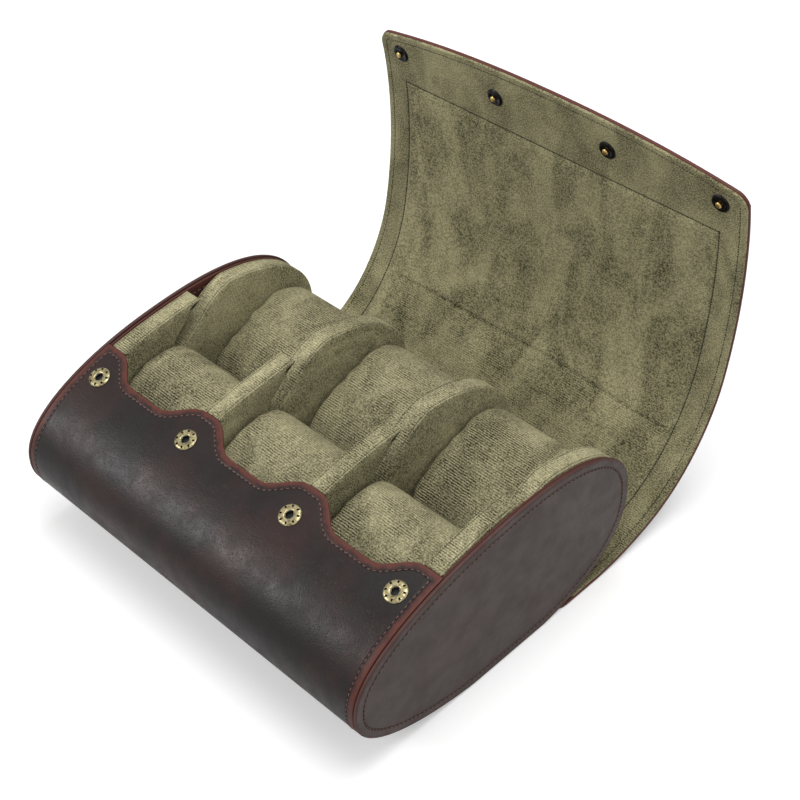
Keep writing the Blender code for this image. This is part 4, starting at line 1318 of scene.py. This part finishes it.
def cushion(name, row, bay):
    centre, half, tilt = CUSHION_ROWS[row]
    low, high = CUSHION_BAYS[bay]
    walls = bay_walls()
    start = roll_outline(centre, half, tilt, walls, -CUSHION_PLUMP)
    mesh = roll_mesh(start, centre, low + CUSHION_SLACK, high - CUSHION_SLACK)
    mesh = with_modifier(mesh, "REMESH", mode="VOXEL", voxel_size=VOXEL)
    before = mesh_points(mesh)
    after = filled(mesh.copy())
    move = after - before
    size = np.maximum(np.linalg.norm(move, axis=1), 1e-9)
    after = before + move * np.minimum(1.0, CUSHION_SWELL / size)[:, None]
    after = kept_in_bay(after, centre, walls, low, high)
    move_points(mesh, after)
    mesh.update()
    mesh = with_modifier(mesh, "SUBSURF", levels=2, render_levels=2)
    points = kept_in_bay(mesh_points(mesh), centre, walls, low, high)
    move_points(mesh, points)
    outline, at = even_loop([tuple(p) for p in start], 0.0006, 0)
    order = np.argmin(np.hypot(outline[:, 0] - centre[0] - 0.02, outline[:, 1]))
    outline = np.roll(outline, -order, 0)
    nearest = np.array([np.argmin(np.hypot(outline[:, 0] - p[1], outline[:, 1] - p[2])) for p in points])
    pitch_count = round(at[-1] / RIB_PITCH)
    along = smooth_along(points, outline, at, nearest) * pitch_count * RIB_PITCH / (at[-1] + at[1])
    inset = np.minimum(points[:, 0] - low, high - points[:, 0])
    ribbed = smooth_step(inset, 0.0005, 0.0016)
    add_attributes(mesh, {"along": along, "edge": inset, "ribbed": ribbed, "flat": points})
    mesh.shade_smooth()
    dress(make_object(name, mesh, CUSHION_SUEDE), [f"cushion_{row}_{bay}"], "case")


def smooth_along(points, outline, at, nearest):
    """Distance round the outline for each point, between the outline's own samples."""
    ahead = np.roll(outline, -1, 0) - np.roll(outline, 1, 0)
    ahead /= np.hypot(*ahead.T)[:, None]
    offset = points[:, 1:] - outline[nearest]
    return at[nearest] + np.sum(offset * ahead[nearest], 1)


for row in ("front", "back"):
    for bay in ("left", "middle", "right"):
        cushion(f"cushion_{bay}_{row}", row, bay)


# Press-stud sockets. Four antique brass rings with eight pricked dots are riveted through the
# front. The bore of each is a near-black cup of painted shade, with a split spring of steel wire
# against its wall.
SOCKET_RADIUS = 0.0060
SOCKET_BORE = 0.0023
SOCKET_SEAT = 0.0002
SPRING_REACH = 0.00218
DOT_COUNT = 8
DOT_PITCH_RADIUS = 0.0046
DOT_RADIUS = 0.00050
TURNED_SIDES = 64
METAL_SHARP = 50.0
MERGE_REACH = 3e-6
SPRING_HEIGHT = 0.00045
SPRING_WIRE = 0.00012


def metal(name, bright, dull, rough, wear_scale):
    """Tarnished in patches, with a fine scratched surface."""
    made, tree, shader = new_material(name)
    place = add(tree, "ShaderNodeTexCoord").outputs["Object"]
    tarnish = ranged(tree, noise(tree, place, wear_scale, 5.0, 0.65, 0.4), 0.38, 0.66)
    level = ranged(tree, tarnish, 0.0, 1.0, rough, rough + 0.22)
    scratch = noise(tree, place, 2600.0, 3.0, 0.6)
    link_shader(tree, shader, mixed(tree, tarnish, bright, dull), level, scratch, 0.00003)
    shader.inputs["Metallic"].default_value = 1.0
    return made


ANTIQUE_BRASS = metal("antique_brass", tone(178, 168, 130), tone(86, 76, 50), 0.28, 520.0)
DARK_METAL = metal("dark_metal", tone(44, 43, 46), tone(18, 17, 18), 0.30, 500.0)
STUD_BRASS = metal("stud_brass", tone(214, 184, 122), tone(150, 122, 70), 0.22, 900.0)
SPRING_STEEL = metal("spring_steel", tone(150, 149, 144), tone(60, 58, 55), 0.22, 900.0)


def turned_mesh(profile, place):
    """Closed solid turned from a closed run of (radius, height), set in its place."""
    points = []
    angles = 2.0 * math.pi * np.arange(TURNED_SIDES) / TURNED_SIDES
    for radius, height in profile:
        radius = max(radius, 1e-6)
        level = np.full(TURNED_SIDES, height)
        points.append(np.stack([radius * np.cos(angles), radius * np.sin(angles), level], 1))
    faces = band_faces(TURNED_SIDES, len(profile), closed=profile[0][0] > 1e-5)
    turn = np.array(place.to_3x3())
    whole = np.concatenate(points) @ turn.T + np.array(place.translation)
    return closed_mesh(whole, faces, {}, METAL_SHARP, MERGE_REACH)


def pricked(mesh, place):
    """The ring with its dots cut in."""
    cutter = bmesh.new()
    for i in range(DOT_COUNT):
        angle = 2.0 * math.pi * (i + 0.5) / DOT_COUNT
        at = (DOT_PITCH_RADIUS * math.cos(angle), DOT_PITCH_RADIUS * math.sin(angle), 0.0014)
        bmesh.ops.create_cone(cutter, cap_ends=True, segments=12, radius1=DOT_RADIUS,
                              radius2=DOT_RADIUS * 1.5, depth=0.0020, matrix=place @ Matrix.Translation(at))
    result = cut_out(mesh, cutter, METAL_SHARP)
    result.materials.append(ANTIQUE_BRASS)
    result.materials.append(DARK_METAL)
    away = place.inverted()
    for face in result.polygons:
        spot = away @ face.center
        turn = (math.atan2(spot.y, spot.x) * DOT_COUNT / (2.0 * math.pi)) % 1.0 - 0.5
        aside = turn * 2.0 * math.pi / DOT_COUNT * DOT_PITCH_RADIUS
        gap = math.hypot(spot.to_2d().length - DOT_PITCH_RADIUS, aside)
        face.material_index = 1 if gap < DOT_RADIUS * 1.4 and 0.0003 < spot.z < 0.00095 else 0
    return result


def wire(points, radius):
    """Closed wire along a line of points."""
    data = bpy.data.curves.new("wire", "CURVE")
    data.dimensions = "3D"
    data.bevel_depth = radius
    data.bevel_resolution = 2
    data.use_fill_caps = True
    run = data.splines.new("POLY")
    run.points.add(len(points) - 1)
    for point, place in zip(run.points, points):
        point.co = (*place, 1.0)
    holder = new_object("wire", data)
    mesh = evaluated(holder)
    bpy.data.objects.remove(holder, do_unlink=True)
    mesh.shade_smooth()
    return mesh


ring_profile = (
    (SOCKET_BORE, -0.0006), (SOCKET_BORE + 0.0004, -0.0008), (SOCKET_BORE + 0.0004, SOCKET_SEAT - 0.0001),
    (SOCKET_RADIUS, SOCKET_SEAT - 0.0001), (SOCKET_RADIUS + 0.00006, SOCKET_SEAT + 0.0001),
    (SOCKET_RADIUS - 0.00012, SOCKET_SEAT + 0.00034), (0.0055, SOCKET_SEAT + 0.00058),
    (0.0050, SOCKET_SEAT + 0.00072), (0.0042, SOCKET_SEAT + 0.00080), (0.0035, SOCKET_SEAT + 0.00082),
    (0.0029, SOCKET_SEAT + 0.00080), (0.0025, SOCKET_SEAT + 0.00062), (SOCKET_BORE, SOCKET_SEAT + 0.00030),
)
bore_profile = ((0.0, -0.00150), (0.00228, -0.00150), (0.00228, 0.00020), (0.00212, 0.00020),
                (0.00212, -0.00138), (0.0, -0.00138))
# Painted shade: the cup in each bore is near black to stand for the shadow inside the socket.
BORE_SHADE = plain_surface("bore_shade", tone(12, 11, 11), 0.7, 1500.0)
for number, x in enumerate(SNAP_X, 1):
    spot = on_sheet(x, SNAP_ALONG, 0.0)
    outward = -(on_sheet(x, SNAP_ALONG, 0.001) - spot)
    place = frame_on(spot, outward)
    mesh = pricked(turned_mesh(ring_profile, place), place)
    mesh.name = f"ring_{number}"
    dress(new_object(f"ring_{number}", mesh), [f"socket_{number}"], "case")
    bore = make_object(f"bore_{number}", turned_mesh(bore_profile, place), BORE_SHADE)
    dress(bore, body="case")
    for sign, word in ((-1.0, "a"), (1.0, "b")):
        reach = sign * SPRING_REACH
        points = [place @ Vector((reach * math.cos(t), SPRING_REACH * math.sin(t), SPRING_HEIGHT))
                  for t in np.linspace(-1.2, 1.2, 16)]
        arm = make_object(f"spring_{number}_{word}", wire(points, SPRING_WIRE), SPRING_STEEL)
        dress(arm, body="case")
    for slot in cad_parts[f"socket_post_{number}"].material_slots:
        slot.material = DARK_METAL


# Studs. On the lid's free edge each stud is a darkened ring with a brass ball inside and a
# domed brass cap on the outside, riveted through leather and suede.
stud_profile = (
    (0.0, 0.0028), (0.0009, 0.00276), (0.00145, 0.00252), (0.0018, 0.0021), (0.0017, 0.0017),
    (0.0013, 0.0013), (0.0013, 0.0004), (0.0, 0.0004),
)
collar_profile = (
    (0.0017, 0.00002), (0.0052, 0.00002), (0.0053, 0.0003), (0.0050, 0.0008), (0.0043, 0.00115),
    (0.0034, 0.0010), (0.0028, 0.0006), (0.0017, 0.0005),
)
cap_profile = (
    (0.0, -0.0018), (0.0022, -0.00174), (0.0042, -0.00150), (0.0055, -0.00112), (0.0062, -0.00068),
    (0.0065, -0.0003), (0.0064, 0.0), (0.0, 0.0),
)
for number in range(1, 5):
    low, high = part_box(f"stud_{number}")
    middle = (low + high) / 2.0
    lid_part = np.nonzero(ALONG > 0.2)[0]
    reach = np.hypot(LINE[lid_part, 0] + SUEDE_TOP * INWARD[lid_part, 0] - middle.y,
                     LINE[lid_part, 1] + SUEDE_TOP * INWARD[lid_part, 1] - middle.z)
    along = float(ALONG[lid_part[np.argmin(reach)]])
    foot = on_sheet(middle.x, along, SUEDE_TOP)
    inward = on_sheet(middle.x, along, SUEDE_TOP + 0.001) - foot
    place = frame_on(foot, inward)
    under = frame_on(on_sheet(middle.x, along, 0.0), inward)
    rows = (("stud_collar", collar_profile, place, DARK_METAL, "dark_brass", []),
            ("stud_ball", stud_profile, place, STUD_BRASS, "brass", [f"stud_{number}"]),
            ("stud_dome", cap_profile, under, ANTIQUE_BRASS, "brass", [f"stud_cap_{number}"]))
    for word, profile, spot, finish, slot, replaced in rows:
        dress(make_object(f"{word}_{number}", turned_mesh(profile, spot), finish), replaced, "flap")
